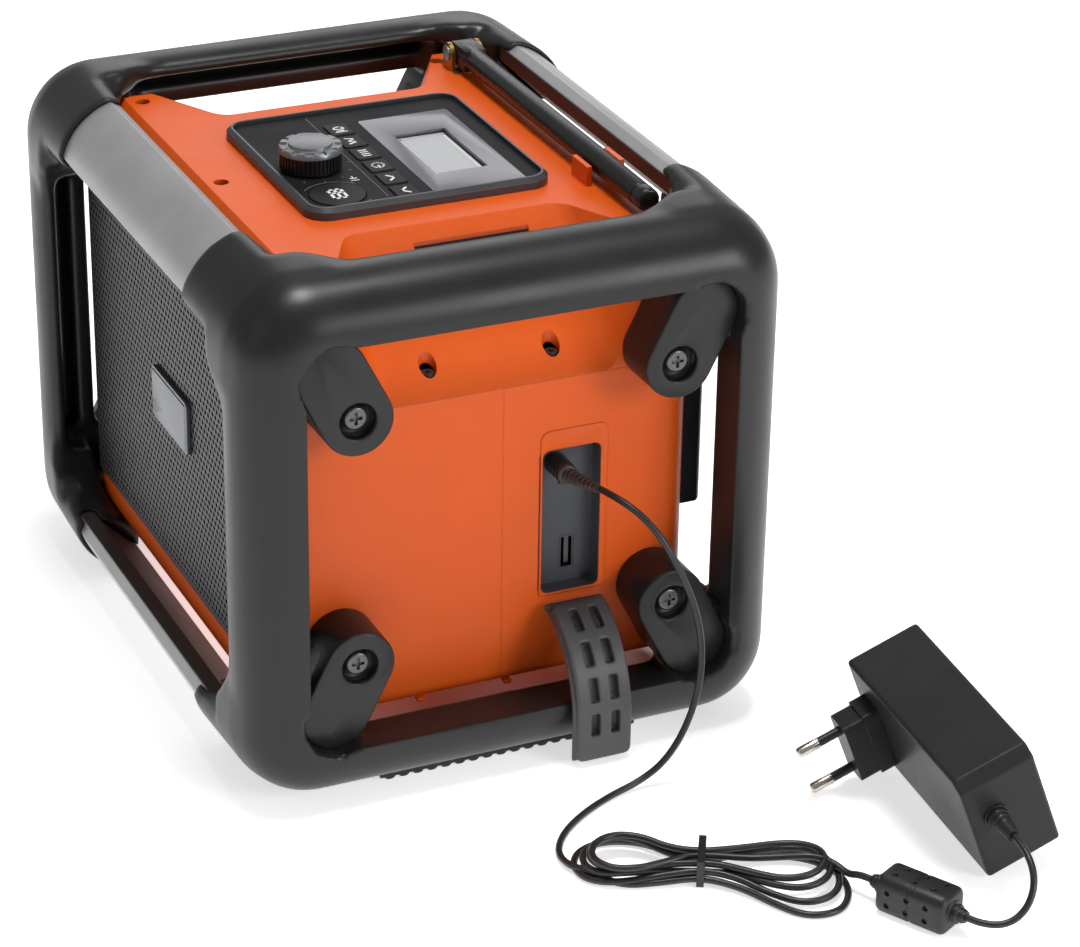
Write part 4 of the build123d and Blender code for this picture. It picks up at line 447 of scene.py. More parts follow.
class Bench:
    """Modelling by primitives, edit-mode operators and applied modifiers."""

    def clear(self) -> None:
        """Leave edit mode and deselect everything."""
        if bpy.context.object is not None and bpy.context.object.mode != "OBJECT":
            bpy.ops.object.mode_set(mode="OBJECT")
        bpy.ops.object.select_all(action="DESELECT")

    def take(self, piece: Piece) -> None:
        """Make a piece the only selected and the active one.

        Args:
            piece: the piece.
        """
        self.clear()
        piece.select_set(True)
        bpy.context.view_layer.objects.active = piece

    def settle(self, piece: Piece) -> None:
        """Move a piece's place, turn and size into its mesh."""
        self.take(piece)
        bpy.ops.object.transform_apply(location=True, rotation=True, scale=True)

    def block(self, name: str, low: Point, high: Point) -> Piece:
        """Add a box between two corners.

        Args:
            name: piece name.
            low: one corner, in millimetres.
            high: the opposite corner.

        Returns:
            The box.
        """
        self.clear()
        middle = (metres(low) + metres(high)) / 2
        size = [abs(b - a) * MM for a, b in zip(low, high)]
        bpy.ops.mesh.primitive_cube_add(size=1, location=middle, scale=size)
        return self._named(name)

    def rod(
        self, name: str, start: Point, end: Point, radius: float, tip: float | None = None, sides: int = 48,
    ) -> Piece:
        """Add a round bar or a taper between two points.

        Args:
            name: piece name.
            start: middle of one end, in millimetres.
            end: middle of the other end.
            radius: radius at the start.
            tip: radius at the end, or None for a straight bar.
            sides: faces round it.

        Returns:
            The bar.
        """
        self.clear()
        along = metres(end) - metres(start)
        bpy.ops.mesh.primitive_cone_add(
            vertices=sides, radius1=radius * MM, radius2=(radius if tip is None else tip) * MM,
            depth=along.length, location=(metres(start) + metres(end)) / 2,
            rotation=along.to_track_quat("Z", "X").to_euler(),
        )
        return self._named(name)

    def _named(self, name: str) -> Piece:
        """Name the new primitive and settle it.

        Args:
            name: piece name.

        Returns:
            The piece.
        """
        piece = bpy.context.object
        piece.name = name
        piece.data.name = name
        self.settle(piece)
        return piece

    def pick(self, piece: Piece, mode: str, test: Test) -> int:
        """Enter edit mode and select vertices, edges or faces by place and direction.

        Args:
            piece: the piece.
            mode: VERT, EDGE or FACE.
            test: takes a middle in millimetres, and a normal or an edge's direction.

        Returns:
            How many were selected.
        """
        self.take(piece)
        bpy.ops.object.mode_set(mode="EDIT")
        bpy.ops.mesh.select_mode(type=mode)
        bpy.ops.mesh.select_all(action="DESELECT")
        mesh = bmesh.from_edit_mesh(piece.data)
        count = 0
        if mode == "VERT":
            rows = [(v, v.co / MM, v.normal) for v in mesh.verts]
        elif mode == "EDGE":
            rows = [
                (e, (e.verts[0].co + e.verts[1].co) / 2 / MM, (e.verts[1].co - e.verts[0].co).normalized())
                for e in mesh.edges
            ]
        else:
            rows = [(f, f.calc_center_median() / MM, f.normal) for f in mesh.faces]
        for item, middle, direction in rows:
            chosen = test(middle, direction)
            item.select_set(chosen)
            count += chosen
        if mode == "EDGE":
            for item, middle, direction in rows:
                if test(middle, direction):
                    item.select_set(True)
        mesh.select_flush_mode()
        bmesh.update_edit_mesh(piece.data)
        return count

    def bevel(self, piece: Piece, width: float, segments: int = 3, test: Test | None = None) -> Piece:
        """Round edges: the picked ones in edit mode, or all sharp ones with a modifier.

        Args:
            piece: the piece.
            width: width of the round in millimetres.
            segments: faces across it.
            test: picks edges, or None for every sharp edge.

        Returns:
            The piece.
        """
        if test is not None:
            self.pick(piece, "EDGE", test)
            bpy.ops.mesh.bevel(offset=width * MM, segments=segments, affect="EDGES")
            bpy.ops.object.mode_set(mode="OBJECT")
            return piece
        self.take(piece)
        rounding = piece.modifiers.new("rounding", "BEVEL")
        rounding.width = width * MM
        rounding.segments = segments
        rounding.limit_method = "ANGLE"
        rounding.angle_limit = math.radians(SHARP)
        bpy.ops.object.modifier_apply(modifier=rounding.name)
        return piece

    def inset(self, piece: Piece, test: Test, width: float, depth: float = 0.0) -> Piece:
        """Inset the picked faces and sink or raise them.

        Args:
            piece: the piece.
            test: picks the faces.
            width: inset width in millimetres.
            depth: how far they rise, or sink when negative.

        Returns:
            The piece.
        """
        self.pick(piece, "FACE", test)
        bpy.ops.mesh.inset(thickness=width * MM, depth=depth * MM)
        bpy.ops.object.mode_set(mode="OBJECT")
        return piece

    def push(self, piece: Piece, test: Test, distance: float, single: bool = False) -> Piece:
        """Extrude the picked faces along their normals.

        Args:
            piece: the piece.
            test: picks the faces.
            distance: in millimetres.
            single: extrude each face for itself.

        Returns:
            The piece.
        """
        self.pick(piece, "FACE", test)
        if single:
            bpy.ops.mesh.extrude_faces_move(TRANSFORM_OT_shrink_fatten={"value": -distance * MM})
        else:
            bpy.ops.mesh.extrude_region_shrink_fatten(TRANSFORM_OT_shrink_fatten={"value": -distance * MM})
        bpy.ops.object.mode_set(mode="OBJECT")
        return piece

    def cut(self, piece: Piece, *tools: Piece) -> Piece:
        """Take the tools away from a piece and delete them."""
        return self._combine(piece, tools, "DIFFERENCE")

    def fuse(self, piece: Piece, *others: Piece) -> Piece:
        """Unite a piece with others that overlap it."""
        return self._combine(piece, others, "UNION")

    def _combine(self, piece: Piece, tools: Iterable[Piece], operation: str) -> Piece:
        """Apply a boolean with each tool and delete it.

        Args:
            piece: the piece that is shaped.
            tools: pieces that shape it.
            operation: DIFFERENCE or UNION.

        Returns:
            The piece.
        """
        for tool in tools:
            self.take(piece)
            shape = piece.modifiers.new("shape", "BOOLEAN")
            shape.operation = operation
            shape.solver = "EXACT"
            shape.object = tool
            bpy.ops.object.modifier_apply(modifier=shape.name)
            bpy.data.objects.remove(tool, do_unlink=True)
        return piece

    def join(self, name: str, pieces: Sequence[Piece]) -> Piece:
        """Join pieces that only touch into one object.

        Args:
            name: name of the joined piece.
            pieces: its parts, of which the first is kept.

        Returns:
            The joined piece.
        """
        self.clear()
        for piece in pieces:
            piece.select_set(True)
        bpy.context.view_layer.objects.active = pieces[0]
        bpy.ops.object.join()
        pieces[0].name = name
        pieces[0].data.name = name
        return pieces[0]

    def copy(self, piece: Piece, name: str, place: Matrix) -> Piece:
        """Copy a piece with its own mesh to another place.

        Args:
            piece: the piece.
            name: the copy's name.
            place: matrix in metres that carries the piece to its place.

        Returns:
            The copy.
        """
        twin = piece.copy()
        twin.data = piece.data.copy()
        twin.name = name
        twin.data.name = name
        bpy.context.collection.objects.link(twin)
        twin.data.transform(place)
        if place.determinant() < 0:
            twin.data.flip_normals()
        return twin

    def repeat(self, piece: Piece, count: int, step: Point, merge: bool = True) -> Piece:
        """Array a piece along a step in millimetres.

        Args:
            piece: the piece.
            count: how many there are in all.
            step: from one to the next.
            merge: weld neighbours where they meet.

        Returns:
            The piece.
        """
        self.take(piece)
        row = piece.modifiers.new("row", "ARRAY")
        row.count = count
        row.use_relative_offset = False
        row.use_constant_offset = True
        row.constant_offset_displace = metres(step)
        row.use_merge_vertices = merge
        row.merge_threshold = 0.02 * MM
        bpy.ops.object.modifier_apply(modifier=row.name)
        return piece

    def bisect(self, piece: Piece, at: Point, normal: Point) -> Piece:
        """Cut away what lies beyond a plane, on its normal's side.

        Args:
            piece: the piece.
            at: a point of the plane, in millimetres.
            normal: direction of the side that goes.

        Returns:
            The piece.
        """
        self.take(piece)
        bpy.ops.object.mode_set(mode="EDIT")
        bpy.ops.mesh.select_all(action="SELECT")
        bpy.ops.mesh.bisect(plane_co=metres(at), plane_no=normal, clear_outer=True)
        bpy.ops.object.mode_set(mode="OBJECT")
        return piece

    def thicken(self, piece: Piece, thickness: float) -> Piece:
        """Give an open sheet its thickness inwards with the solidify modifier.

        Args:
            piece: the sheet.
            thickness: in millimetres.

        Returns:
            The piece.
        """
        self.take(piece)
        wall = piece.modifiers.new("wall", "SOLIDIFY")
        wall.thickness = thickness * MM
        wall.offset = -1.0
        wall.use_even_offset = True
        bpy.ops.object.modifier_apply(modifier=wall.name)
        return piece

    def subdivide(self, piece: Piece, cuts: int) -> Piece:
        """Divide every edge of a piece.

        Args:
            piece: the piece.
            cuts: new points on each edge.

        Returns:
            The piece.
        """
        self.take(piece)
        bpy.ops.object.mode_set(mode="EDIT")
        bpy.ops.mesh.select_all(action="SELECT")
        bpy.ops.mesh.subdivide(number_cuts=cuts)
        bpy.ops.object.mode_set(mode="OBJECT")
        return piece

    def face_out(self, piece: Piece) -> Piece:
        """Turn every normal of a piece outwards.

        Args:
            piece: the piece.

        Returns:
            The piece.
        """
        self.take(piece)
        bpy.ops.object.mode_set(mode="EDIT")
        bpy.ops.mesh.select_all(action="SELECT")
        bpy.ops.mesh.normals_make_consistent(inside=False)
        bpy.ops.object.mode_set(mode="OBJECT")
        return piece

    def melt(self, piece: Piece, voxel: float) -> Piece:
        """Remesh a piece from voxels, which melts what overlaps in it into one skin.

        Args:
            piece: the piece.
            voxel: side of a voxel in millimetres.

        Returns:
            The piece.
        """
        self.take(piece)
        skin = piece.modifiers.new("skin", "REMESH")
        skin.mode = "VOXEL"
        skin.voxel_size = voxel * MM
        bpy.ops.object.modifier_apply(modifier=skin.name)
        return piece

    def soften(self, piece: Piece, factor: float, passes: int, group: str = "") -> Piece:
        """Smooth the mesh, where a vertex group is given only as far as that says.

        Args:
            piece: the piece, which is the active one.
            factor: how far each pass moves a vertex.
            passes: number of passes.
            group: name of the vertex group, or nothing.

        Returns:
            The piece.
        """
        soft = piece.modifiers.new("soft", "SMOOTH")
        soft.factor = factor
        soft.iterations = passes
        soft.vertex_group = group
        bpy.ops.object.modifier_apply(modifier=soft.name)
        return piece

    def smooth(self, piece: Piece, angle: float = 35.0) -> Piece:
        """Shade smooth where faces meet at less than the angle.

        Args:
            piece: the piece.
            angle: in degrees.

        Returns:
            The piece.
        """
        self.take(piece)
        bpy.ops.object.shade_smooth_by_angle(angle=math.radians(angle))
        return piece

    def twin_of_node(self, node: str, name: str) -> Piece:
        """Copy a solid's mesh to a new piece and merge its loose triangles.

        Args:
            node: the solid's name.
            name: the new piece's name.

        Returns:
            The piece.
        """
        piece = bpy.data.objects.new(name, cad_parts[node].data.copy())
        piece.data.name = name
        bpy.context.collection.objects.link(piece)
        self.take(piece)
        bpy.ops.mesh.customdata_custom_splitnormals_clear()
        bpy.ops.object.mode_set(mode="EDIT")
        bpy.ops.mesh.select_all(action="SELECT")
        bpy.ops.mesh.remove_doubles(threshold=0.002 * MM)
        bpy.ops.object.mode_set(mode="OBJECT")
        return piece

    def dress(self, piece: Piece, finish: Finish, body: str, slot: str, *replaced: str) -> Piece:
        """Give a piece its finish and its body, and hide the nodes that it stands for.

        Args:
            piece: the piece.
            finish: its finish.
            body: body it rides on.
            slot: not used.
            replaced: nodes that it replaces.

        Returns:
            The piece.
        """
        piece.data.materials.clear()
        piece.data.materials.append(finish.material())
        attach(piece, body)
        if replaced:
            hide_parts(*replaced)
        LOG.info("piece %s on %s", piece.name, body)
        return piece

    def paint(self, finish: Finish, *nodes: str) -> None:
        """Give carried-over solids a finish.

        Args:
            finish: the finish.
            nodes: names of the solids.
        """
        for name in nodes:
            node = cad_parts[name]
            node.data.materials.clear()
            node.data.materials.append(finish.material())
            LOG.info("node %s in %s", name, finish.value.name)


BENCH = Bench()


# ------------------------------------------------------------------ studio
@dataclass
class Studio:
    """Camera, soft lights and the pale floor."""

    camera_at: Point = (1135.75, -458.86, 673.4)
    camera_right: Point = (0.4113, 0.9114, 0.0153)
    camera_up: Point = (-0.4135, 0.1717, 0.8942)
    lens: float = 119.26
    floor_side: float = 9000.0
    sky: float = 0.30
    glow: float = 0.6             # of the glowing floor, which washes out its shadows
    shade_patch_at: Pair = (72.0, 12.0)   # middle of the patch of painted shade under the radio, left unlit
    shade_patch_reach: Pair = (34.0, 78.0)
    shade_patch_edge: Pair = (0.85, 1.15)
    soft_boxes: list[tuple[str, Point, Point, float, float]] = field(default_factory=lambda: [
        ("overhead_box", (60, 60, 1500), (0, 0, 100), 430.0, 14.0),
        ("left_box", (300, -1500, 900), (0, 0, 100), 900.0, 0.7),
        ("right_box", (1500, 900, 700), (0, 0, 100), 700.0, 12.5),
        ("back_box", (-1475, 597, 818), (0, 0, 180), 900.0, 3.0),
    ])

    def build(self) -> None:
        """Place the camera, the floor, the lights and the sky."""
        self._camera()
        self._floor()
        for name, at, target, size, power in self.soft_boxes:
            self._soft_box(name, at, target, size, power)
        world = bpy.data.worlds.new("studio_air")
        world.use_nodes = True
        air = world.node_tree.nodes["Background"]
        air.inputs["Color"].default_value = linear("ffffff")
        air.inputs["Strength"].default_value = self.sky
        bpy.context.scene.world = world
        bpy.context.scene.view_settings.view_transform = "Standard"

    def _camera(self) -> None:
        """Make the scene camera at its measured place."""
        data = bpy.data.cameras.new("camera")
        data.lens = self.lens
        data.sensor_width = 36.0
        data.sensor_fit = "HORIZONTAL"
        data.clip_start = 0.05
        camera = bpy.data.objects.new("camera", data)
        bpy.context.collection.objects.link(camera)
        right = Vector(self.camera_right).normalized()
        up = Vector(self.camera_up).normalized()
        axes = Matrix((right, up, right.cross(up))).transposed().to_4x4()
        camera.matrix_world = Matrix.Translation(metres(self.camera_at)) @ axes
        bpy.context.scene.camera = camera

    def _floor(self) -> None:
        """Lay the pale floor, which glows but for a patch of painted shade under the radio."""
        half = self.floor_side / 2
        floor = BENCH.block("floor", (-half, -half, -10), (half, half, 0))
        BENCH.bevel(floor, 4, 2)
        # glowing floor: it washes out its own shadows and stays almost white, but for a patch of painted
        # shade under the radio
        material, tree, shader = new_material(
            "glowing_floor_painted_shade", Roughness=0.9, Emission_Color=linear("ffffff"),
        )
        place = add_node(tree, "ShaderNodeTexCoord")
        (x, y), (wide, deep) = self.shade_patch_at, self.shade_patch_reach
        centred = add_node(
            tree, "ShaderNodeMapping", {"Vector": place.outputs["Object"]},
            {"Location": (-x / wide, -y / deep, 0), "Scale": (1 / (wide * MM), 1 / (deep * MM), 0)},
        )
        away = add_node(tree, "ShaderNodeVectorMath", {0: centred.outputs["Vector"]}, operation="LENGTH")
        lit = add_node(
            tree, "ShaderNodeMapRange", {"Value": away.outputs["Value"]},
            {"From Min": self.shade_patch_edge[0], "From Max": self.shade_patch_edge[1], "To Min": 0.0, "To Max": self.glow},
        )
        tree.links.new(lit.outputs["Result"], shader.inputs["Emission Strength"])
        cloud = grain(tree, 400.0, 2.0)
        hue = add_node(
            tree, "ShaderNodeHueSaturation",
            {"Value": spread(tree, cloud.outputs["Fac"], 0.99, 1.01).outputs["Result"]},
            {"Color": linear("f4f4f4")},
        )
        tree.links.new(hue.outputs["Color"], shader.inputs["Base Color"])
        floor.data.materials.append(material)

    def _soft_box(self, name: str, at: Point, target: Point, size: float, power: float) -> None:
        """Add a square area light that looks at a point.

        Args:
            name: light name.
            at: its place in millimetres.
            target: the point that it faces.
            size: its side in millimetres.
            power: in watts.
        """
        data = bpy.data.lights.new(name, "AREA")
        data.size = size * MM
        data.energy = power
        light = bpy.data.objects.new(name, data)
        bpy.context.collection.objects.link(light)
        facing = (metres(target) - metres(at)).to_track_quat("-Z", "Y").to_matrix().to_4x4()
        light.matrix_world = Matrix.Translation(metres(at)) @ facing


# ------------------------------------------------------------------ power supply lead
@dataclass
class SupplyLead:
    """The lead from its plug through the tied hank and the ferrite to the adapter."""

    radius: float = 1.25
    waist: Pair = (215.5, 28.5)
    turn: float = 61.0
    relief_end: Point = (123.87, 30.94, 105.11)
    first_run: list[Point] = field(default_factory=lambda: [
        (132.5, 33.5, 105.2), (141.0, 39.2, 101.0), (147.0, 44.8, 93.0), (150.6, 50.2, 81.0),
        (153.2, 55.2, 67.0), (155.2, 57.4, 51.5), (156.8, 55.8, 36.0), (157.4, 50.6, 21.0),
        (157.0, 43.0, 9.0), (156.0, 33.5, 2.4), (159.5, 20.0, 1.5), (166.5, 6.0, 1.35),
        (175.5, -5.5, 1.4), (186.0, -12.5, 1.6), (196.0, -12.5, 2.2), (203.0, -8.0, 3.2),
    ])
    # hank points: along it, across it towards the speaker side, and height; four turns and a half
    hank: list[Point] = field(default_factory=lambda: [
        (-27, 12.5, 1.6), (-13, 9.5, 2.0), (0, 6.4, 3.0), (14, 10.0, 2.2), (26, 18.5, 1.5),
        (37, 24.5, 1.5), (47.5, 21.0, 1.5), (51, 12.0, 1.6), (50, 2.0, 1.7), (44, -7.0, 1.7),
        (33, -12.5, 1.6), (18, -10.5, 2.0), (0, -6.4, 3.0), (-13, -10.4, 2.4), (-24, -16.0, 1.6),
        (-35, -15.0, 1.5), (-43, -8.0, 1.5), (-44.5, 1.5, 1.5), (-39, 10.0, 1.6), (-28, 12.5, 2.6),
        (-13, 8.5, 4.2), (0, 5.6, 5.4), (12, 7.0, 4.4), (24, 13.5, 2.6), (35.5, 18.0, 2.2),
        (45, 13.5, 2.4), (48.3, 4.5, 3.4), (45, -5.0, 4.2), (35.5, -11.5, 4.2), (21, -11.2, 4.3),
        (8, -6.8, 5.2), (-2, -5.0, 5.6), (-13, -7.8, 4.6), (-24, -12.6, 4.0), (-34.5, -12.0, 4.0),
        (-41, -4.6, 4.0), (-40.5, 4.6, 4.0), (-34, 10.6, 4.6), (-24, 9.4, 5.2), (-11, 5.0, 3.8),
        (0, 3.0, 3.0), (12, 4.6, 4.2), (25, 11.5, 4.8), (36, 12.4, 4.6), (44, 6.0, 5.4),
        (44.5, -3.4, 6.4), (37.5, -10.2, 6.4), (26, -10.6, 6.0), (12, -6.2, 4.6), (-1, -3.2, 3.2),
        (-12, -5.2, 4.4), (-22, -10.2, 6.2), (-32, -11.0, 6.6), (-38.5, -4.6, 6.4),
        (-38.5, 4.4, 6.4), (-32, 10.0, 6.4), (-21, 8.6, 6.6), (-9, 4.4, 6.8), (5, 3.2, 7.0),
        (17, 7.0, 6.6), (29, 10.2, 6.4), (39.5, 6.4, 7.0), (43, -2.0, 8.2), (39, -9.6, 8.0),
        (29, -12.0, 7.4), (12, -6.4, 7.2), (-1, -2.8, 7.4), (-12, -5.0, 7.0), (-21, -9.4, 8.0),
        (-31, -9.0, 8.6), (-37.5, -2.4, 8.6), (-37.8, 6.4, 8.4), (-31, 12.2, 8.2), (-21.5, 11.2, 8.0),
        (-12, 5.6, 7.8), (-5, 0.6, 7.6), (4, -0.6, 7.6), (16, -0.2, 7.4), (28, -1.6, 8.0),
        (38, -2.6, 8.6), (45, -1.4, 7.2),
    ])
    link: list[Point] = field(default_factory=lambda: [
        (242.0, 71.0, 5.2), (247.1, 73.1, 7.4), (251.5, 75.5, 7.4),
    ])
    tail: list[Point] = field(default_factory=lambda: [
        (283.96, 93.26, 7.4), (288.79, 95.90, 7.4), (292.6, 100.6, 7.6), (294.0, 105.6, 9.0),
        (293.6, 110.2, 12.2), (291.8, 113.6, 16.6), (288.6, 115.6, 21.2), (283.5, 116.6, 24.6),
        (277.22, 117.02, 26.31), (272.23, 117.19, 26.61),
    ])
    sleeve_from: Point = (251.5, 75.5, 7.4)
    sleeve_to: Point = (283.96, 93.26, 7.4)

    def on_floor(self, along: float, across: float, height: float) -> Point:
        """Turn a hank point to a place in the frame.

        Args:
            along: from the waist, along the hank.
            across: from the waist, towards the speaker side.
            height: above the floor.

        Returns:
            The place in millimetres.
        """
        angle = math.radians(self.turn)
        x = self.waist[0] + along * math.cos(angle) + across * math.sin(angle)
        y = self.waist[1] + along * math.sin(angle) - across * math.cos(angle)
        return x, y, height

    def route(self) -> list[Point]:
        """Return the lead's control points from the radio's plug to the adapter.

        Returns:
            The points in millimetres.
        """
        through = [tuple(Vector(self.sleeve_from).lerp(Vector(self.sleeve_to), t)) for t in (0.33, 0.67)]
        wound = [self.on_floor(*point) for point in self.hank]
        return [self.relief_end, *self.first_run, *wound, *self.link, *through, *self.tail]

    def build(self) -> Piece:
        """Lay the cord along its route.

        Returns:
            The cord's curve.
        """
        curve = bpy.data.curves.new("supply_cord", "CURVE")
        curve.dimensions = "3D"
        spline = curve.splines.new("NURBS")
        points = self.route()
        spline.points.add(len(points) - 1)
        for target, point in zip(spline.points, points):
            target.co = (*metres(point), 1.0)
        spline.order_u = 3
        spline.use_endpoint_u = True
        spline.resolution_u = 6
        curve.bevel_depth = self.radius * MM
        curve.bevel_resolution = 4
        curve.use_fill_caps = True
        cord = bpy.data.objects.new("supply_cord", curve)
        bpy.context.collection.objects.link(cord)
        curve.materials.append(Finish.CORD.material())
        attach(cord, "radio")
        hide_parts("cord_lead", "cord_hank", "cord_link", "cord_tail")
        LOG.info("cord with %d points", len(points))
        return cord


# ------------------------------------------------------------------ crash frame
@dataclass
class CrashFrame:
    """End frames with melted-together sleeves, their legs and foot ribs, the rails and the leg screws."""

    voxel: float = 1.25
    quick_voxel: float = 2.4
    passes: int = 22
    moat: float = 0.35            # gap cut round each leg, so that it keeps its crisp edge
    rib_pitch: float = 5.45
    rib_width: float = 4.7
    rib_count: int = 18
    rib_rise: float = 1.0         # of the strip between the ribs
    rib_reach: Pair = (7.5, 7.0)  # inwards and outwards from the crown
    sole: Rect = (95.0, 128.0, 49.0, 2.1)     # near and far end, half the width and top of the ribs' bed
    crown_x: float = 109.7
    leg_root: float = 104.1
    leg_face: float = 124.1
    leg_radius: float = 13.0
    leg_length: float = 20.0
    leg_lean: float = 27.0
    leg_screw: Pair = (60.5, 47.5)
    leg_bore: Pair = (6.7, 5.1)
    middle_z: float = 101.0
    soft_corner: Pair = (88.0, 85.0)          # beyond these on Y and Z the moulding is a soft corner
    soft_sleeve: Pair = (81.5, 77.5)          # beyond these, inside soft_x, a sleeve runs out softly
    soft_x: float = 106.0
    soft_least: float = 0.08

    def build(self) -> None:
        """Build both end frames and dress the rails and screws."""
        leg = self._leg()
        for side, sign in (("right", 1), ("left", -1)):
            self._moulding(side, sign)
            self._ribs(side, sign)
            self._legs(leg, side, sign)
        bpy.data.objects.remove(leg, do_unlink=True)
        for place in ("front_top", "front_bottom", "rear_top", "rear_bottom"):
            BENCH.paint(Finish.CORE_PP, "rail_core_" + place)
            BENCH.paint(Finish.RAIL_PAINT, "rail_cover_" + place)
        BENCH.paint(Finish.SCREW_BLACK, "frame_screws_left", "frame_screws_right")

    def _slot(self, name: str, low: float, high: float, grow: float) -> Piece:
        """Make a round-ended bar along X, its screw on the X axis and its far end up.

        Args:
            name: piece name.
            low: its nearer end on X.
            high: its outer end.
            grow: how far it goes past the leg all round.

        Returns:
            The bar.
        """
        radius = self.leg_radius + grow
        slot = BENCH.block(name, (low, -radius, -radius), (high, radius, self.leg_length + radius))
        return BENCH.bevel(slot, radius - 0.01, 14, lambda at, along: abs(along.x) > 0.9)

    def _leg(self) -> Piece:
        """Model one leg with its counterbore, to be copied eight times.

        Returns:
            The leg, with its screw on the X axis.
        """
        leg = self._slot("leg", self.leg_root, self.leg_face, 0.0)
        radius, depth = self.leg_bore
        BENCH.cut(leg, BENCH.rod("bore", (self.leg_face - depth, 0, 0), (self.leg_face + 2, 0, 0), radius))
        BENCH.bevel(leg, 0.7, 3, lambda at, along: at.x > self.leg_face - 0.05)
        return BENCH.smooth(leg, 35)

    def _leg_places(self, sign: int) -> dict[str, Matrix]:
        """Return the four places of a leg on one end frame, by corner.

        Args:
            sign: 1 on the right, -1 on the left.

        Returns:
            Corner to the matrix, in metres, that carries the leg there.
        """
        places = {}
        for corner, along, up in (
            ("front_top", -1, 1), ("front_bottom", -1, -1), ("rear_top", 1, 1), ("rear_bottom", 1, -1),
        ):
            turn = -along * self.leg_lean if up > 0 else 180 + along * self.leg_lean
            at = metres((0, along * self.leg_screw[0], self.middle_z + up * self.leg_screw[1]))
            mirror = Matrix.Diagonal((sign, 1, 1, 1))
            places[corner] = mirror @ Matrix.Translation(at) @ Matrix.Rotation(math.radians(turn), 4, "X")
        return places

    def _legs(self, leg: Piece, side: str, sign: int) -> None:
        """Copy the leg to the four corners of one end frame.

        Args:
            leg: the leg.
            side: right or left.
            sign: 1 on the right, -1 on the left.
        """
        for corner, place in self._leg_places(sign).items():
            twin = BENCH.copy(leg, f"leg_{side}_{corner}", place)
            BENCH.dress(twin, Finish.FRAME_PP, "radio", "frame_plastic", "end_frame_" + side)

    def _moulding(self, side: str, sign: int) -> None:
        """Rebuild one end frame as a single soft-edged moulding.

        Args:
            side: right or left.
            sign: 1 on the right, -1 on the left.
        """
        shell = BENCH.twin_of_node("end_frame_" + side, "end_frame_moulding_" + side)
        near, far, half, top = self.sole
        BENCH.cut(shell, BENCH.block("sole", (sign * near, -half, -2), (sign * far, half, top)))
        for place in self._leg_places(sign).values():
            moat = self._slot("moat", self.leg_face - 2.2, self.leg_face + 8, self.moat)
            moat.data.transform(place)
            if sign < 0:
                moat.data.flip_normals()
            BENCH.cut(shell, moat)
        BENCH.melt(shell, self.voxel)
        group = shell.vertex_groups.new(name="soft")
        for vertex in shell.data.vertices:
            group.add([vertex.index], self._softness(vertex.co / MM), "REPLACE")
        BENCH.soften(shell, 0.6, self.passes, group.name)
        shell.vertex_groups.clear()
        BENCH.smooth(shell, 60)
        BENCH.dress(shell, Finish.FRAME_PP, "radio", "frame_plastic", "end_frame_" + side)

    def _softness(self, at: Vector) -> float:
        """Say how far a place on the moulding is smoothed, from nought to one.

        Args:
            at: the place in millimetres.

        Returns:
            The share of the smoothing that it gets.
        """
        x, y, z = abs(at.x), abs(at.y), abs(at.z - self.middle_z)
        corner = (max(y - self.soft_corner[0], z - self.soft_corner[1]) + 7.0) / 10.0
        sleeve = 0.8 * (max(y - self.soft_sleeve[0], z - self.soft_sleeve[1]) + 2.0) / 5.0
        inner = sleeve * min(1.0, max(0.0, (self.soft_x - x) / 3.0))
        return min(1.0, max(self.soft_least, corner, inner))

    def _ribs(self, side: str, sign: int) -> None:
        """Set the anti-slip ribs under one end frame.

        Args:
            side: right or left.
            sign: 1 on the right, -1 on the left.
        """
        low = -self.rib_pitch * (self.rib_count - 1) / 2
        inwards, outwards = self.rib_reach
        near, far = sign * (self.crown_x - inwards), sign * (self.crown_x + outwards)
        rib = BENCH.block(
            "foot_rib", (near, low - self.rib_width / 2, 0.0), (far, low + self.rib_width / 2, 3.2),
        )
        BENCH.bevel(rib, 1.9, 4, lambda at, along: abs(along.x) > 0.9 and at.z < 1)
        BENCH.bevel(rib, 0.9, 3, lambda at, along: abs(along.x) < 0.2 and at.z < 3)
        BENCH.repeat(rib, self.rib_count, (0, self.rib_pitch, 0), merge=False)
        strip = BENCH.block("foot_ribs_" + side, (near, low - 4, self.rib_rise), (far, -low + 4, 3.6))
        BENCH.bevel(strip, 0.8, 3, lambda at, along: at.z < 2)
        BENCH.fuse(strip, rib)
        BENCH.smooth(strip, 40)
        BENCH.dress(strip, Finish.FRAME_PP, "radio", "frame_plastic")


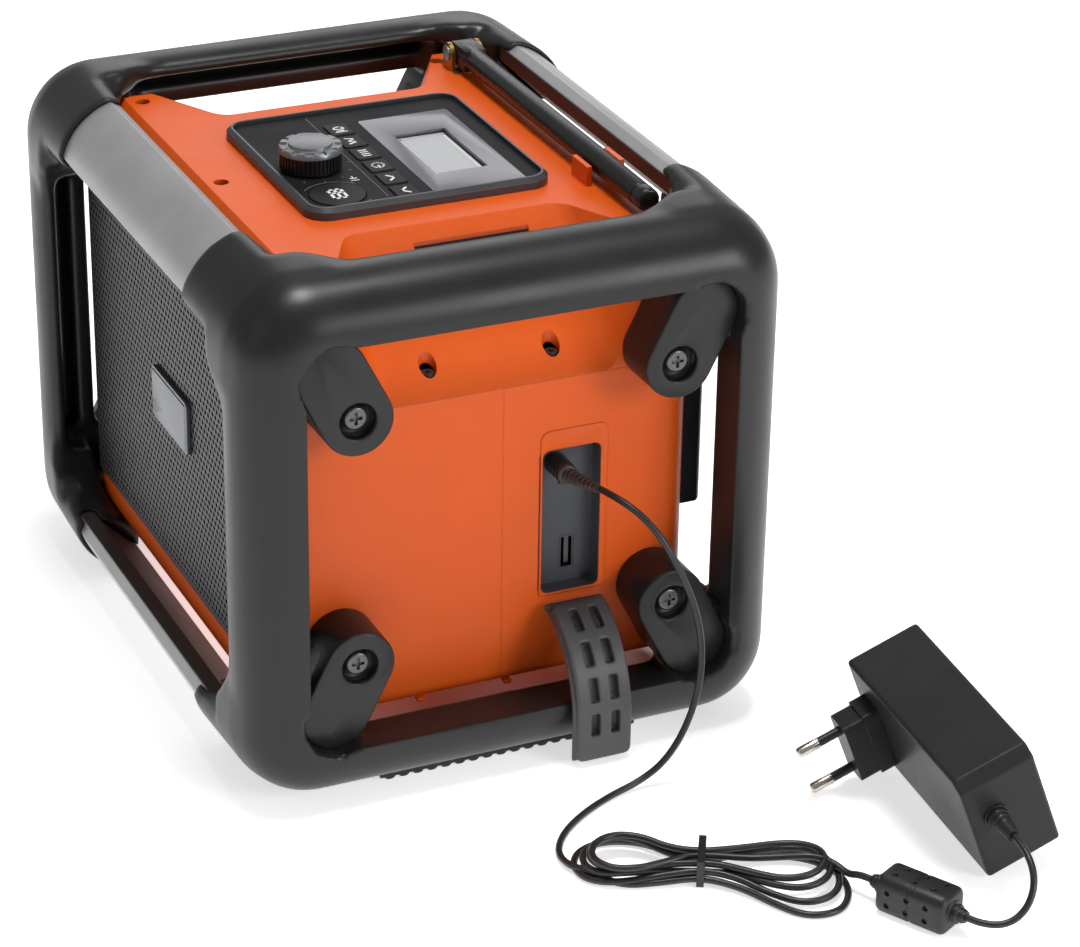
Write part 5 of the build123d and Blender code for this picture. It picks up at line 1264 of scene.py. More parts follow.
# ------------------------------------------------------------------ housing
@dataclass
class Housing:
    """Orange housings, top cover and their screws, the flap's seat and the snap lugs."""

    end_x: float = 104.0
    recess: Rect = (17.3, 40.1, 56.0, 113.4)
    seat: Rect = (16.5, 42.9, 55.2, 121.0)
    seat_rise: float = 0.35
    lugs: tuple[float, ...] = (-29.0, 5.0)
    low_edge: float = 22.5
    slit: tuple[float, float, float] = (67.8, 5.0, 22.0)     # its place on X and Y, half its length
    slope_run: float = 41.5
    slope_low: float = 141.0
    slope_top: float = 189.5

    def build(self) -> None:
        """Dress the housings and add the seat and the lugs on the right end."""
        BENCH.paint(Finish.HOUSING_ABS, "front_housing", "rear_housing", "top_cover")
        BENCH.paint(Finish.SCREW_DEEP, "cover_screws")
        self._seat()
        self._lugs()
        self._vent_shade()

    def _seat(self) -> None:
        """Raise the flap's seat round the socket recess."""
        y0, y1, z0, z1 = self.seat
        seat = BENCH.block("flap_seat", (self.end_x - 0.2, y0, z0), (self.end_x + self.seat_rise, y1, z1))
        BENCH.bevel(seat, 3.6, 6, lambda at, along: abs(along.x) > 0.9 and at.z > z1 - 1)
        y0, y1, z0, z1 = self.recess
        hole = BENCH.block("hole", (self.end_x - 3, y0, z0), (self.end_x + 3, y1, z1))
        BENCH.bevel(hole, 2.8, 5, lambda at, along: abs(along.x) > 0.9)
        BENCH.cut(seat, hole)
        BENCH.bevel(seat, 0.12, 2)
        BENCH.smooth(seat, 30)
        BENCH.dress(seat, Finish.HOUSING_ABS, "radio", "housing_orange")

    def _vent_shade(self) -> None:
        """Lay a dark strip of painted shade in the vent slit across each hand scoop, which then reads as an
        opening.
        """
        x, y, half = self.slit
        rise = self.slope_top - self.slope_low
        lean = math.atan2(rise, self.slope_run)
        up = self.slope_low + (self.end_x - x) * rise / self.slope_run
        for side, sign in (("right", 1), ("left", -1)):
            cloth = BENCH.block("vent_painted_shade_" + side, (-1.4, -half, -1.7), (1.4, half, -1.0))
            BENCH.bevel(cloth, 0.2, 2)
            place = Matrix.Translation(metres((x, y, up))) @ Matrix.Rotation(lean, 4, "Y")
            cloth.data.transform(Matrix.Diagonal((sign, 1, 1, 1)) @ place)
            if sign < 0:
                cloth.data.flip_normals()
            BENCH.dress(cloth, Finish.SPEAKER_CLOTH, "radio", "grille")

    def _lugs(self) -> None:
        """Set the small snap lugs under the end wall's lower edge."""
        for index, y in enumerate(self.lugs):
            lug = BENCH.block(
                f"snap_lug_{index + 1}", (self.end_x - 3.0, y - 1.5, self.low_edge - 1.2),
                (self.end_x - 0.2, y + 1.5, self.low_edge + 0.4),
            )
            BENCH.bevel(lug, 0.7, 3, lambda at, along: at.z < self.low_edge - 1)
            BENCH.smooth(lug, 40)
            BENCH.dress(lug, Finish.HOUSING_ABS, "radio", "housing_orange")


# ------------------------------------------------------------------ speaker side
@dataclass
class SpeakerSide:
    """Perforated sheet wrapped round both front corners, the cloth behind it and the bare badge."""

    flat: float = 90.0
    face_y: float = -84.5
    corner: float = 14.0
    sheet: float = 1.2
    web: float = 0.8              # thickness of the perforated field
    bottom: float = 37.0
    top: float = 173.0
    wrap: float = 82.0            # degrees round each corner
    pitch: float = 3.15
    hole: float = 0.97            # radius
    border: float = 2.6
    folds: int = 60               # cuts that let a flat strip follow the corners
    badge: Rect = (-16.0, 22.0, 94.0, 115.0)

    def build(self) -> None:
        """Build the grille, its border, the cloth and the badge."""
        self._grille()
        self._cloth()
        self._badge()

    def _half(self) -> float:
        """Return half the developed width of the sheet's outside."""
        return self.flat + (self.corner + self.sheet) * math.radians(self.wrap)

    def _wrap(self, piece: Piece, out: float) -> None:
        """Fold a flat sheet, drawn as x and z, round the corners at a distance outside the housing.

        Args:
            piece: sheet in the XZ plane; its y is added to the distance.
            out: distance outside the housing's face.
        """
        full = self.corner + self.sheet
        for vertex in piece.data.vertices:
            u, raise_by = vertex.co.x / MM, out - vertex.co.y / MM
            radius = self.corner + raise_by
            over = abs(u) - self.flat
            if over <= 0:
                x, y = u, self.face_y - raise_by
            else:
                angle = over / full
                x = math.copysign(self.flat + radius * math.sin(angle), u)
                y = self.face_y + self.corner - radius * math.cos(angle)
            vertex.co.x, vertex.co.y = x * MM, y * MM
        piece.data.update()

    def _cell(self) -> Piece:
        """Make one cell of the sheet with its round hole, lying in XZ.

        Returns:
            The cell.
        """
        row = self.pitch * math.sqrt(3) / 2
        BENCH.clear()
        upright = (math.radians(90), 0, 0)
        bpy.ops.mesh.primitive_circle_add(vertices=8, radius=self.hole * MM, rotation=upright)
        cell = bpy.context.object
        cell.name = "speaker_mesh"
        cell.data.name = "speaker_mesh"
        BENCH.settle(cell)
        BENCH.take(cell)
        bpy.ops.object.mode_set(mode="EDIT")
        bpy.ops.mesh.select_all(action="SELECT")
        bpy.ops.mesh.extrude_edges_move()
        bpy.ops.transform.resize(value=(1.5, 1.0, 1.5))
        bpy.ops.object.mode_set(mode="OBJECT")
        for vertex in cell.data.vertices:
            if Vector((vertex.co.x, 0, vertex.co.z)).length > self.hole * 1.2 * MM:
                x, z = vertex.co.x, vertex.co.z
                vertex.co.x = 0 if abs(x) < 0.2 * MM else math.copysign(self.pitch / 2 * MM, x)
                vertex.co.z = 0 if abs(z) < 0.2 * MM else math.copysign(row / 2 * MM, z)
        return cell

    def _grille(self) -> None:
        """Perforate the sheet, trim it, give it thickness and fold it."""
        row = self.pitch * math.sqrt(3) / 2
        mesh = self._cell()
        columns = int(2 * self._half() / self.pitch) + 2
        rows = int((self.top - self.bottom) / row / 2) + 2
        BENCH.repeat(mesh, columns, (self.pitch, 0, 0))
        BENCH.repeat(mesh, 2, (self.pitch / 2, 0, row))
        BENCH.repeat(mesh, rows, (0, 0, 2 * row))
        start = Vector((-self.pitch * (columns - 0.5) / 2, 0, self.bottom)) * MM
        mesh.data.transform(Matrix.Translation(start))
        half = self._half() - self.border
        for at, normal in (
            ((half, 0, 0), (1, 0, 0)), ((-half, 0, 0), (-1, 0, 0)),
            ((0, 0, self.top - self.border), (0, 0, 1)), ((0, 0, self.bottom + self.border), (0, 0, -1)),
        ):
            BENCH.bisect(mesh, at, normal)
        self._wrap(mesh, self.sheet)
        BENCH.face_out(mesh)
        if mesh.data.polygons[0].normal.y > 0:
            mesh.data.flip_normals()
        BENCH.thicken(mesh, self.web)
        BENCH.smooth(mesh, 30)
        BENCH.dress(mesh, Finish.GRILLE_COAT, "radio", "grille", "speaker_grille")
        edge = BENCH.join("speaker_mesh_border", [self._strip(*sides) for sides in self._border()])
        BENCH.smooth(edge, 40)
        BENCH.dress(edge, Finish.GRILLE_COAT, "radio", "grille")

    def _border(self) -> list[Rect]:
        """Return the developed corners of the four plain border strips.

        Returns:
            Left, right, low and high of each strip.
        """
        half, width = self._half(), self.border
        return [
            (-half, half, self.bottom, self.bottom + width), (-half, half, self.top - width, self.top),
            (-half, width - half, self.bottom + width, self.top - width),
            (half - width, half, self.bottom + width, self.top - width),
        ]

    def _strip(self, left: float, right: float, low: float, high: float) -> Piece:
        """Fold one plain strip of the sheet.

        Args:
            left: its left end on the developed sheet.
            right: its right end.
            low: its lower edge.
            high: its upper edge.

        Returns:
            The strip.
        """
        strip = BENCH.block("strip", (left, 0.0, low), (right, self.sheet, high))
        BENCH.subdivide(strip, self.folds if right - left > 20 else 1)
        self._wrap(strip, self.sheet)
        return strip

    def _cloth(self) -> None:
        """Stretch the black cloth between the sheet and the housing."""
        half = self._half() - 1.0
        cloth = BENCH.block("speaker_cloth", (-half, -0.12, self.bottom + 1), (half, 0.0, self.top - 1))
        BENCH.subdivide(cloth, self.folds)
        self._wrap(cloth, 0.1)
        BENCH.smooth(cloth, 40)
        BENCH.dress(cloth, Finish.SPEAKER_CLOTH, "radio", "grille")

    def _badge(self) -> None:
        """Make the bare badge: a raised frame round a brushed plate."""
        y = self.face_y - self.sheet
        x0, x1, z0, z1 = self.badge
        x, z = (x0 + x1) / 2, (z0 + z1) / 2
        plate = BENCH.block("badge", (x0, y - 1.8, z0), (x1, y, z1))
        BENCH.bevel(plate, 1.6, 4, lambda at, along: abs(along.y) > 0.9)
        BENCH.inset(plate, lambda at, normal: normal.y < -0.9, 1.1, 0.0)
        BENCH.push(
            plate, lambda at, normal: normal.y < -0.9 and abs(at.x - x) < 10 and abs(at.z - z) < 8, -0.45,
        )
        BENCH.bevel(plate, 0.25, 2)
        BENCH.smooth(plate, 30)
        BENCH.dress(plate, Finish.BADGE_METAL, "radio", "badge", "badge_plate")


# ------------------------------------------------------------------ control unit
@dataclass
class ControlUnit:
    """Bezel, panel, printed marks, display, keys, mode button and knob."""

    panel_top: float = 192.7
    key_y: float = -9.0
    key_x: float = -24.3
    key_pitch: float = 12.9
    mode: Pair = (34.5, -32.5)
    knob: Pair = (6.5, -32.0)
    knob_rise: Pair = (193.6, 201.2)
    window: Rect = (-30.2, 45.8, 0.5, 36.5)
    face: Rect = (-12.3, 28.7, 7.7, 28.1)
    proud: float = 0.5
    ink: float = 0.06
    ribs: int = 44
    skirt: Pair = (11.3, 11.1)    # radius of the knob's parts, below and above
    crown: Pair = (11.75, 11.2)
    cap: Pair = (8.05, 8.05)
    dot: Pair = (3.0, 2.6)
    ring: float = 12.4            # radius of the arcs round the mode button
    scale: Pair = (14.0, 15.0)    # inner and outer end of the knob's marks
    small_sign: Pair = (22.0, -21.5)
    sign_growth: float = 1.35     # of the key signs as they are drawn here

    def build(self) -> None:
        """Dress the unit's solids and add what is on them."""
        BENCH.paint(Finish.TRIM_ABS, "control_bezel")
        BENCH.paint(Finish.PANEL_ABS, "keypad_panel")
        BENCH.paint(Finish.KEY_RUBBER, "mode_button", *(f"key_{i}" for i in range(1, 7)))
        self._marks()
        self._display()
        self._knob()

    def _stroke(self, start: Pair, end: Pair, width: float, z: float) -> Piece:
        """Lay one printed stroke between two points of a level face.

        Args:
            start: x and y of one end.
            end: x and y of the other end.
            width: stroke width.
            z: height of the face.

        Returns:
            The stroke.
        """
        length = math.dist(start, end)
        bar = BENCH.block("stroke", (-width / 2, -width / 2, 0), (length + width / 2, width / 2, self.ink))
        BENCH.bevel(bar, width * 0.3, 2, lambda at, along: abs(along.z) > 0.9)
        angle = math.atan2(end[1] - start[1], end[0] - start[0])
        bar.data.transform(Matrix.Translation(metres((*start, z))) @ Matrix.Rotation(angle, 4, "Z"))
        return bar

    def _icon(
        self, name: str, at: Pair, strokes: Sequence[Stroke], body: str, z: float, width: float,
        finish: Finish = Finish.INK_WHITE,
    ) -> None:
        """Print a small sign made of strokes round a point.

        Args:
            name: piece name.
            at: middle of the sign.
            strokes: x and y of both ends of each stroke, from the middle.
            body: body that it rides on.
            z: height of the face.
            width: stroke width.
            finish: its ink.
        """
        bars = [
            self._stroke((at[0] + a, at[1] + b), (at[0] + c, at[1] + d), width, z) for a, b, c, d in strokes
        ]
        sign = BENCH.join(name, bars)
        BENCH.dress(sign, finish, body, "badge")

    def _arc(self, radius: float, first: float, last: float, steps: int) -> list[Stroke]:
        """Return the strokes of an arc, in degrees.

        Args:
            radius: in millimetres.
            first: where it starts.
            last: where it ends.
            steps: number of strokes.

        Returns:
            The strokes, from the arc's middle.
        """
        points = []
        for i in range(steps + 1):
            angle = math.radians(first + (last - first) * i / steps)
            points.append((radius * math.cos(angle), radius * math.sin(angle)))
        return [(*a, *b) for a, b in zip(points, points[1:])]

    def _marks(self) -> None:
        """Print the generic signs on the keys, the mode button and the panel."""
        signs = [
            [(-1.6, -0.8, -1.6, 0.8), (-1.6, 0.8, 0.1, 1.7), (0.1, 1.7, 0.1, -1.7), (0.1, -1.7, -1.6, -0.8),
             (1.2, -0.9, 1.2, 0.9), (2.1, -1.5, 2.1, 1.5)],
            [(-2.2, -1.2, -1.2, 1.2), (-1.2, 1.2, 0.0, -1.2), (0.0, -1.2, 1.0, 1.2), (1.0, 1.2, 2.0, -1.2)],
            [(-2.0, -1.0, -2.0, 1.0), (-0.7, -1.0, -0.7, 1.0), (0.7, -1.0, 0.7, 1.0), (2.0, -1.0, 2.0, 1.0)],
            [*self._arc(1.7, 30, 330, 8), (0.3, 0.0, 1.9, 0.0)],
            [(-1.7, -0.8, 0.0, 0.9), (0.0, 0.9, 1.7, -0.8)],
            [(-1.7, 0.8, 0.0, -0.9), (0.0, -0.9, 1.7, 0.8)],
        ]
        top = self.panel_top + self.proud
        for index, strokes in enumerate(signs):
            at = (self.key_x + index * self.key_pitch, self.key_y)
            grown = [tuple(self.sign_growth * value for value in stroke) for stroke in strokes]
            key = index + 1
            self._icon(f"key_sign_{key}", at, grown, f"key_{key}", top, 0.72 if index < 4 else 0.95)
        menu = [(-4.0, y, 4.0, y) for y in (-2.4, 0.0, 2.4)] + [(x, -2.4, x, 2.4) for x in (-4.0, -0.8, 4.0)]
        self._icon("mode_sign", self.mode, menu, "mode_button", top, 1.15)
        small = [(-2.0, 0.0, 0.6, 0.0), (0.6, 0.0, -0.4, 1.2), (0.6, 0.0, -0.4, -1.2), (1.8, -1.4, 1.8, 1.4)]
        self._icon("panel_sign", self.small_sign, small, "radio", self.panel_top, 0.5)
        for name, first in (("mode_arc_a", 130), ("mode_arc_b", -50)):
            arc = self._arc(self.ring, first, first + 100, 12)
            self._icon(name, self.mode, arc, "radio", self.panel_top, 0.28, Finish.INK_GREY)
        near, far = self.scale
        marks = []
        for i in range(11):
            angle = math.radians(30 * i - 30)
            x, y = math.cos(angle), math.sin(angle)
            marks.append((near * x, near * y, far * x, far * y))
        self._icon("knob_scale", self.knob, marks, "radio", self.panel_top, 0.25, Finish.INK_GREY)
        line = [(-40.0, -16.2, 42.0, -16.2)]
        self._icon("panel_line", (0, 0), line, "radio", self.panel_top, 0.22, Finish.INK_GREY)

    def _display(self) -> None:
        """Make the printed window with its sunk display."""
        x0, x1, y0, y1 = self.window
        a0, a1, b0, b1 = self.face
        a, b, top = (a0 + a1) / 2, (b0 + b1) / 2, self.panel_top
        mask = BENCH.block("display_mask", (x0, y0, top - 1.4), (x1, y1, top + 0.15))
        BENCH.bevel(mask, 1.2, 3, lambda at, along: abs(along.z) > 0.9)
        BENCH.cut(mask, BENCH.block("aperture", (a0, b0, 190), (a1, b1, 195)))
        BENCH.bevel(mask, 0.12, 2)
        BENCH.smooth(mask, 30)
        BENCH.dress(mask, Finish.WINDOW_MASK, "radio", "window", "display_window")
        rim = BENCH.block("display_rim", (a0 - 0.4, b0 - 0.4, top - 2.2), (a1 + 0.4, b1 + 0.4, top - 1.41))
        BENCH.inset(rim, lambda at, normal: normal.z > 0.9, 2.4, 0.0)
        BENCH.push(
            rim, lambda at, normal: normal.z > 0.9 and abs(at.x - a) < 8 and abs(at.y - b) < 5, -0.3,
        )
        BENCH.dress(rim, Finish.LCD_RIM, "radio", "lcd", "lcd_module")
        face = BENCH.block("display_face", (a0 + 3.6, b0 + 1.6, top - 2.0), (a1 - 0.9, b1 - 1.2, top - 1.2))
        BENCH.bevel(face, 0.3, 2)
        BENCH.dress(face, Finish.LCD, "radio", "lcd")
        ghost = self._segments()
        self._icon("display_ghost", (a + 1, b), ghost, "radio", top - 1.2, 0.42, Finish.LCD_RIM)

    def _segments(self) -> list[Stroke]:
        """Return the faint unlit segments of a four-figure clock.

        Returns:
            The strokes, from the middle of the display.
        """
        strokes = []
        for x in (-11.0, -4.6, 3.4, 9.8):
            for y in (-3.4, 0.0, 3.4):
                strokes.append((x - 1.3, y, x + 1.3, y))
            for dx in (-1.9, 1.9):
                strokes.append((x + dx, 0.5, x + dx, 2.9))
                strokes.append((x + dx, -2.9, x + dx, -0.5))
        return strokes

    def _knob(self) -> None:
        """Turn the knob: ribbed skirt, notched bright crown, dished cap and its dot."""
        x, y = self.knob
        low, high = self.knob_rise
        skirt = BENCH.rod("knob_skirt", (x, y, low), (x, y, high), *self.skirt, 2 * self.ribs)
        BENCH.push(skirt, self._every_other, 0.55, single=True)
        BENCH.bevel(skirt, 0.12, 1)
        BENCH.smooth(skirt, 25)
        BENCH.dress(skirt, Finish.KNOB_ABS, "volume_knob", "key_plastic", "volume_knob")
        crown = BENCH.rod("knob_crown", (x, y, high - 1.5), (x, y, high + 0.75), *self.crown, 96)
        BENCH.inset(crown, lambda at, normal: normal.z > 0.9, 3.1)
        BENCH.push(crown, lambda at, normal: normal.z > 0.9 and math.dist((at.x, at.y), (x, y)) < 4, -1.1)
        notches = []
        for i in range(12):
            turn = math.radians(30 * i + 8)
            wide = 0.6 + 0.5 * (i % 3)
            notch = BENCH.block("notch", (8.6 + 0.6 * (i % 2), -wide, high + 0.1), (13, wide, high + 3))
            notch.data.transform(Matrix.Translation(metres((x, y, 0))) @ Matrix.Rotation(turn, 4, "Z"))
            notches.append(notch)
        BENCH.cut(crown, BENCH.join("notches", notches))
        BENCH.bevel(crown, 0.14, 2)
        BENCH.smooth(crown, 30)
        BENCH.dress(crown, Finish.KNOB_SILVER, "volume_knob", "badge")
        cap = BENCH.rod("knob_cap", (x, y, high - 0.9), (x, y, high + 0.1), *self.cap, 64)
        BENCH.inset(cap, lambda at, normal: normal.z > 0.9, 1.2, -0.3)
        BENCH.inset(cap, lambda at, normal: normal.z > 0.9 and math.dist((at.x, at.y), (x, y)) < 4, 2.6, 0.35)
        BENCH.smooth(cap, 30)
        BENCH.dress(cap, Finish.KNOB_CAP, "volume_knob", "badge")
        dot = BENCH.rod("knob_dot", (x, y, high - 1.0), (x, y, high + 0.55), *self.dot, 32)
        BENCH.bevel(dot, 0.3, 3)
        BENCH.smooth(dot, 30)
        BENCH.dress(dot, Finish.KNOB_DOT, "volume_knob", "badge")

    def _every_other(self, at: Vector, normal: Vector) -> bool:
        """Pick every second side face of the knob's skirt.

        Args:
            at: middle of the face.
            normal: its normal.

        Returns:
            Whether the face is picked.
        """
        if abs(normal.z) > 0.5:
            return False
        turn = math.degrees(math.atan2(at.y - self.knob[1], at.x - self.knob[0])) % 360
        return int(turn / (360 / (2 * self.ribs))) % 2 == 0


# ------------------------------------------------------------------ antenna
@dataclass
class Antenna:
    """Folding rod antenna: knuckle, tube, cap, pin and brass bracket."""

    pivot: Point = (-78.0, 64.0, 196.0)
    tip: float = 88.5
    tube: Pair = (4.6, 4.4)       # radius at the foot and at the tip
    neck: float = 4.0
    cap: Pair = (4.5, 4.3)
    knuckle: Point = (12.0, 4.5, 4.4)     # past the pin, half the width, half the height

    def build(self) -> None:
        """Build the rod and dress its bracket."""
        x, y, z = self.pivot
        tube = BENCH.rod("antenna_tube", (x + 4, y, z), (self.tip - 6.6, y, z), *self.tube, 64)
        BENCH.inset(tube, lambda at, normal: abs(normal.x) > 0.9, 0.5, 0.0)
        BENCH.bevel(tube, 0.4, 3)
        groove = BENCH.rod("antenna_neck", (self.tip - 7.0, y, z), (self.tip - 5.4, y, z), self.neck)
        BENCH.bevel(groove, 0.1, 1)
        cap = BENCH.rod("antenna_cap", (self.tip - 6.0, y, z), (self.tip, y, z), *self.cap, 64)
        BENCH.bevel(cap, 1.0, 4)
        past, wide, tall = self.knuckle
        knuckle = BENCH.block(
            "antenna_knuckle", (x - tall, y - wide, z - tall), (x + past, y + wide, z + tall),
        )
        BENCH.bevel(knuckle, 4.3, 6, lambda at, along: abs(along.y) > 0.9 and at.x < x)
        BENCH.bevel(knuckle, 0.5, 2)
        rod = BENCH.join("antenna_rod_piece", [tube, groove, cap, knuckle])
        BENCH.smooth(rod, 35)
        BENCH.dress(rod, Finish.ANTENNA_COAT, "antenna", "antenna_black", "antenna_rod")
        BENCH.paint(Finish.BRASS, "antenna_bracket")
        BENCH.paint(Finish.SCREW_ZINC, "antenna_pin")


# ------------------------------------------------------------------ sockets and flap
@dataclass
class SocketBay:
    """Socket recess, its sockets and the rubber flap that hangs open in front of the frame."""

    middle: float = 28.7
    width: float = 22.6
    hinge: Pair = (106.3, 54.0)
    bend: Pair = (97.2, 17.6)
    radius: float = 35.4          # of the flap's back
    start: float = 74.0           # degrees above level
    lid: float = 1.5
    rim: float = 4.0
    length: float = 63.6
    voxel: float = 0.42
    pocket: Pair = (1.75, 4.4)    # half the width and half the length
    pocket_row: Pair = (10.4, 12.9)           # first place along the flap, and pitch
    pocket_column: Pair = (0.6, 3.9)          # middle of both columns, and how far they stand from it
    pocket_floor: float = 0.7

    def build(self) -> None:
        """Dress the sockets and build the flap."""
        BENCH.paint(Finish.TRAY_ABS, "socket_tray", "dc_socket")
        BENCH.paint(Finish.USB_TIN, "usb_socket")
        self._flap()

    def _flap(self) -> None:
        """Mould the flap flat with its eight pockets, then bend it as it hangs."""
        half = self.width / 2
        body = BENCH.block("port_flap_moulding", (-half, 0, 0), (half, self.length, self.lid))
        pad = BENCH.block(
            "pad", (-half + 0.9, 2.2, self.lid - 0.4), (half - 0.3, self.length - 0.1, self.rim),
        )
        BENCH.bevel(pad, 2.6, 4, lambda at, along: abs(along.z) > 0.9)
        BENCH.bevel(pad, 1.0, 3, lambda at, along: abs(along.z) < 0.5 and at.z > self.rim - 0.1)
        BENCH.fuse(body, pad)
        pockets = []
        for column in (-1, 1):
            for row in range(4):
                x = self.pocket_column[0] + column * self.pocket_column[1]
                y = self.pocket_row[0] + row * self.pocket_row[1]
                wide, deep = self.pocket
                pocket = BENCH.block(
                    "pocket", (x - wide, y - deep, self.pocket_floor), (x + wide, y + deep, self.rim + 1),
                )
                BENCH.bevel(pocket, 0.5, 2, lambda at, along: abs(along.z) > 0.9)
                pockets.append(pocket)
        BENCH.cut(body, BENCH.join("pockets", pockets))
        lip = BENCH.rod("lip", (-half, 0.9, 0.9), (half, 0.9, 0.9), 1.4, 1.4, 24)
        BENCH.fuse(body, lip)
        BENCH.melt(body, self.voxel)
        BENCH.soften(body, 0.5, 3)
        for vertex in body.data.vertices:
            vertex.co = self._hang(vertex.co / MM) * MM
        BENCH.face_out(body)
        BENCH.smooth(body, 60)
        BENCH.dress(body, Finish.FLAP_RUBBER, "flap", "rubber_black", "port_flap")

    def _hang(self, flat: Vector) -> Vector:
        """Carry a place on the flat flap to where it hangs.

        Args:
            flat: across the flap, along it from the hinge, and out of its back.

        Returns:
            The place in the frame, in millimetres.
        """
        radius = self.radius + flat.z
        middle = self.radius + self.rim / 2
        bend = middle * math.radians(self.start)
        if flat.y < bend:
            angle = math.radians(self.start) - flat.y / middle
            x = self.bend[0] + radius * math.cos(angle)
            z = self.bend[1] + radius * math.sin(angle)
        else:
            x = self.bend[0] + radius
            z = self.bend[1] - (flat.y - bend)
        return Vector((x, self.middle + flat.x, z))


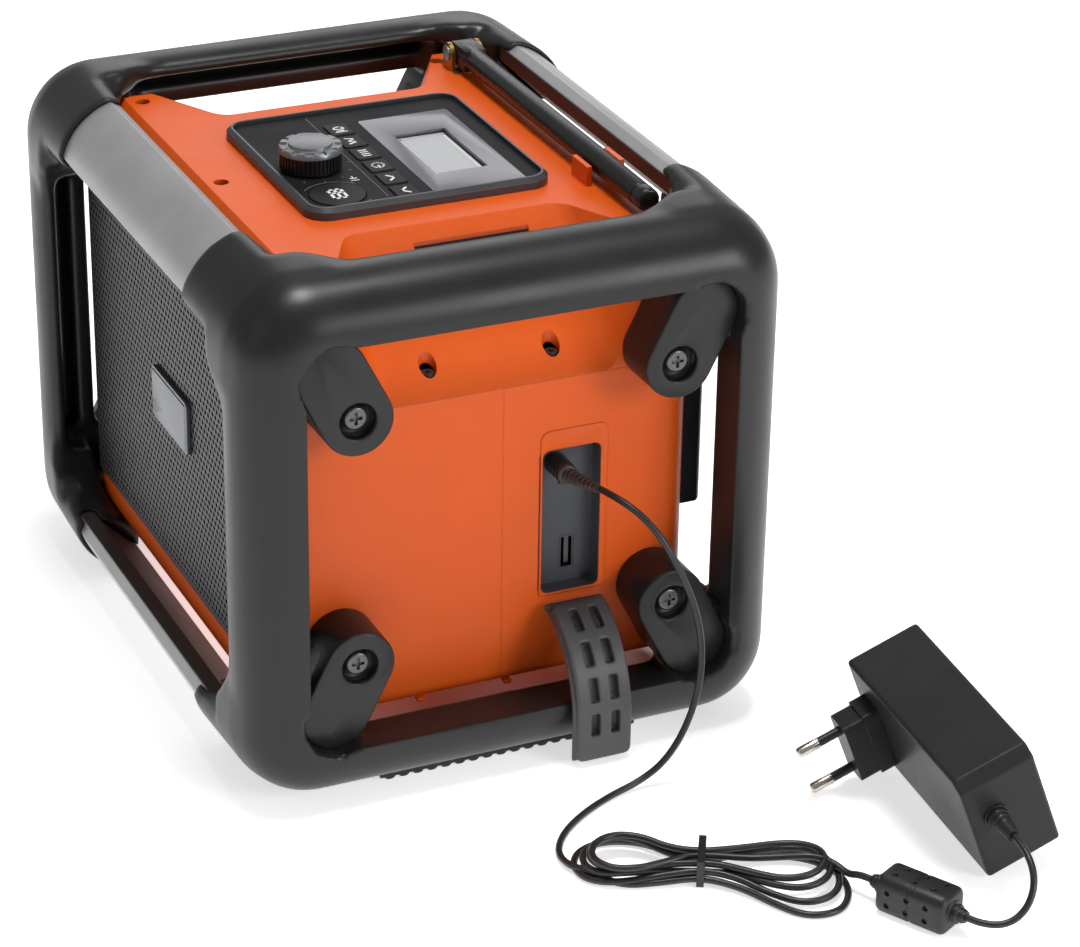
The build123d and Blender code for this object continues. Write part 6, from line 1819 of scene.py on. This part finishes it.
# ------------------------------------------------------------------ plug-in power supply
@dataclass
class PowerSupply:
    """Adapter case, mains plug and sleeved pins, the ferrite, the ribbed reliefs and the tie."""

    corner: Point = (173.4, 121.2, 5.7)
    turn: float = -2.0
    roll: float = 3.4
    tilt: float = 22.0
    case: Point = (84.5, 29.0, 44.5)
    plug_at: Pair = (12.0, 18.5)
    pin_from: float = -14.0
    pin_length: float = 17.5
    pin_spacing: float = 18.0
    relief: Pair = (9.5, 25.0)
    ferrite_from: Point = (251.5, 75.5, 7.4)
    ferrite_to: Point = (283.96, 93.26, 7.4)
    ferrite: Pair = (5.0, 32.0)   # the block's ends along the bead
    ferrite_half: float = 7.4
    socket: Point = (97.3, 25.0, 105.0)
    plug_end: Point = (108.3, 25.0, 105.0)
    lead_at: Point = (132.5, 33.5, 105.2)     # where the plug's relief points to

    def place(self) -> Matrix:
        """Return the matrix that carries the adapter's own frame to its place.

        Returns:
            The matrix, in metres.
        """
        place = Matrix.Translation(metres(self.corner))
        for angle, axis in ((self.turn, "Z"), (self.roll, "Y"), (self.tilt, "X")):
            place @= Matrix.Rotation(math.radians(angle), 4, axis)
        return place

    def build(self) -> None:
        """Build and dress everything on the lead."""
        BENCH.paint(Finish.ADAPTER_ABS, "adapter_case", "mains_plug")
        self._pins()
        self._adapter_relief()
        self._ferrite()
        self._dc_plug()
        BENCH.paint(Finish.SLEEVE_PVC, "twist_tie")

    def _ribs_along(
        self, name: str, start: Point, end: Point, radius: float, tip: float, rings: int,
    ) -> Piece:
        """Make a ribbed bend relief that tapers along a line.

        Args:
            name: piece name.
            start: its thick end.
            end: its thin end.
            radius: radius of the first ring.
            tip: radius of the last ring.
            rings: number of rings.

        Returns:
            The relief.
        """
        a, b = Vector(start), Vector(end)
        core = BENCH.rod(name, start, end, radius * 0.74, max(tip * 0.8, 1.35), 32)
        parts = [core]
        for i in range(rings):
            low, high = i / rings, (i + 0.58) / rings
            size = radius + (tip - radius) * i / max(1, rings - 1)
            ring = BENCH.rod("ring", tuple(a.lerp(b, low)), tuple(a.lerp(b, high)), size, size * 0.96, 32)
            BENCH.bevel(ring, 0.25, 2)
            parts.append(ring)
        relief = BENCH.join(name, parts)
        return BENCH.smooth(relief, 35)

    def _pins(self) -> None:
        """Make the two pins, each with its black sleeve and bright tip."""
        x, mid = self.plug_at
        outer = self.pin_from - self.pin_length
        sleeves, tips = [], []
        for side in (-1, 1):
            z = mid + side * self.pin_spacing / 2
            split = self.pin_from - self.pin_length * 0.52
            sleeve = BENCH.rod("sleeve", (x, self.pin_from + 0.5, z), (x, split, z), 1.75, 1.75, 32)
            tip = BENCH.rod("tip", (x, split + 0.4, z), (x, outer, z), 2.0, 2.0, 32)
            BENCH.bevel(tip, 1.3, 4, lambda at, along: abs(along.y) < 0.3 and at.y < outer + 0.1)
            BENCH.bevel(tip, 0.2, 2)
            sleeves.append(sleeve)
            tips.append(tip)
        for name, parts, finish, slot in (
            ("pin_sleeves", sleeves, Finish.SLEEVE_PVC, "adapter_plastic"),
            ("pin_tips", tips, Finish.NICKEL, "nickel"),
        ):
            piece = BENCH.join(name, parts)
            piece.data.transform(self.place())
            BENCH.smooth(piece, 35)
            BENCH.dress(piece, finish, "radio", slot, "mains_pins")

    def _adapter_relief(self) -> None:
        """Make the ribbed relief on the adapter's end."""
        y, z = self.relief
        length = self.case[0]
        relief = self._ribs_along("adapter_relief", (length - 0.5, y, z), (length + 13, y, z), 4.7, 2.5, 6)
        relief.data.transform(self.place())
        BENCH.dress(relief, Finish.SLEEVE_PVC, "radio", "adapter_plastic")

    def _ferrite(self) -> None:
        """Mould the ferrite's block with its dimples and its two ribbed sleeves."""
        a, b = Vector(self.ferrite_from), Vector(self.ferrite_to)
        along = (b - a).normalized()
        place = Matrix.Translation(a * MM) @ along.to_track_quat("X", "Z").to_matrix().to_4x4()
        (low, high), half = self.ferrite, self.ferrite_half
        block = BENCH.block("ferrite_moulding", (low, -half, -half), (high, half, half))
        BENCH.bevel(block, 4.0, 5, lambda at, along: abs(along.x) > 0.9)
        BENCH.bevel(block, 2.2, 4, lambda at, along: min(abs(at.x - low), abs(at.x - high)) < 0.1)
        dimples = []
        for x in (11, 18.5, 26):
            for y, z in ((-2.6, half), (2.6, half), (half, 2.4), (half, -2.6), (-half, 2.4), (-half, -2.6)):
                out = Vector((0, y if abs(y) > 7 else 0, z if abs(z) > 7 else 0)).normalized()
                at = Vector((x + (0.9 if y > 0 else -0.9), y, z))
                dimples.append(BENCH.rod("dimple", tuple(at - out), tuple(at + out * 0.6), 0.7, 1.3, 16))
        BENCH.cut(block, BENCH.join("dimples", dimples))
        band = BENCH.block("band", (17.8, -8, -8), (19.2, 8, 8))
        hollow = BENCH.block("hollow", (17, -7.15, -7.15), (20, 7.15, 7.15))
        BENCH.bevel(hollow, 3.8, 5, lambda at, along: abs(along.x) > 0.9)
        BENCH.cut(band, hollow)
        BENCH.cut(block, band)
        BENCH.smooth(block, 35)
        near = self._ribs_along("near_sleeve", (5.6, 0, 0), (0, 0, 0), 4.4, 2.6, 3)
        far = self._ribs_along("far_sleeve", (31.4, 0, 0), (37, 0, 0), 4.6, 2.6, 3)
        bead = BENCH.join("ferrite_moulding", [block, near, far])
        bead.data.transform(place)
        BENCH.dress(bead, Finish.FERRITE_PVC, "radio", "adapter_plastic", "ferrite_bead")

    def _dc_plug(self) -> None:
        """Mould the plug in the radio's socket, with its ribbed relief."""
        x, y, z = self.socket
        end = Vector(self.plug_end)
        toward = (Vector(self.lead_at) - end).normalized()
        body = BENCH.rod("dc_plug_moulding", (x, y, z), (x + 12, y, z), 4.1, 3.9, 48)
        BENCH.bevel(body, 1.0, 3)
        grips = [
            BENCH.block("grip", (x + 2 + i * 2.4, y - 5, z - 1.6), (x + 3.1 + i * 2.4, y + 5, z + 1.6))
            for i in range(4)
        ]
        BENCH.cut(body, BENCH.join("grips", grips))
        BENCH.smooth(body, 35)
        first, last = tuple(end - toward * 1.5), tuple(end + toward * 16)
        relief = self._ribs_along("plug_relief", first, last, 3.0, 1.8, 9)
        plug = BENCH.join("dc_plug_moulding", [body, relief])
        BENCH.dress(plug, Finish.PLUG_PVC, "radio", "cord_black", "dc_plug")


# ------------------------------------------------------------------ rear module and inner parts
@dataclass
class RearModule:
    """Rear panel, battery door and what is behind them."""

    def build(self) -> None:
        """Dress the rear and the inner parts."""
        BENCH.paint(Finish.FRAME_PP, "rear_panel")
        BENCH.paint(Finish.PANEL_ABS, "battery_door")
        BENCH.paint(Finish.SCREW_ZINC, "door_pins", "encoder_shaft", "rotary_encoder", "speaker_basket")
        BENCH.paint(Finish.BATTERY_WRAP, "battery_pack")
        BENCH.paint(Finish.BOARD_RESIN, "main_board", "control_board")
        BENCH.paint(Finish.CONE_PAPER, "speaker_cone", "speaker_surround")
        BENCH.paint(Finish.FERRITE_CORE, "speaker_magnet")


def main() -> None:
    """Build every sub-assembly in order."""
    logging.basicConfig(level=logging.INFO, format="%(message)s")
    Studio().build()
    lead = SupplyLead()
    cord = lead.build()
    CrashFrame().build()
    Housing().build()
    SpeakerSide().build()
    ControlUnit().build()
    Antenna().build()
    SocketBay().build()
    PowerSupply().build()
    RearModule().build()


if __name__ == "__main__":
    main()
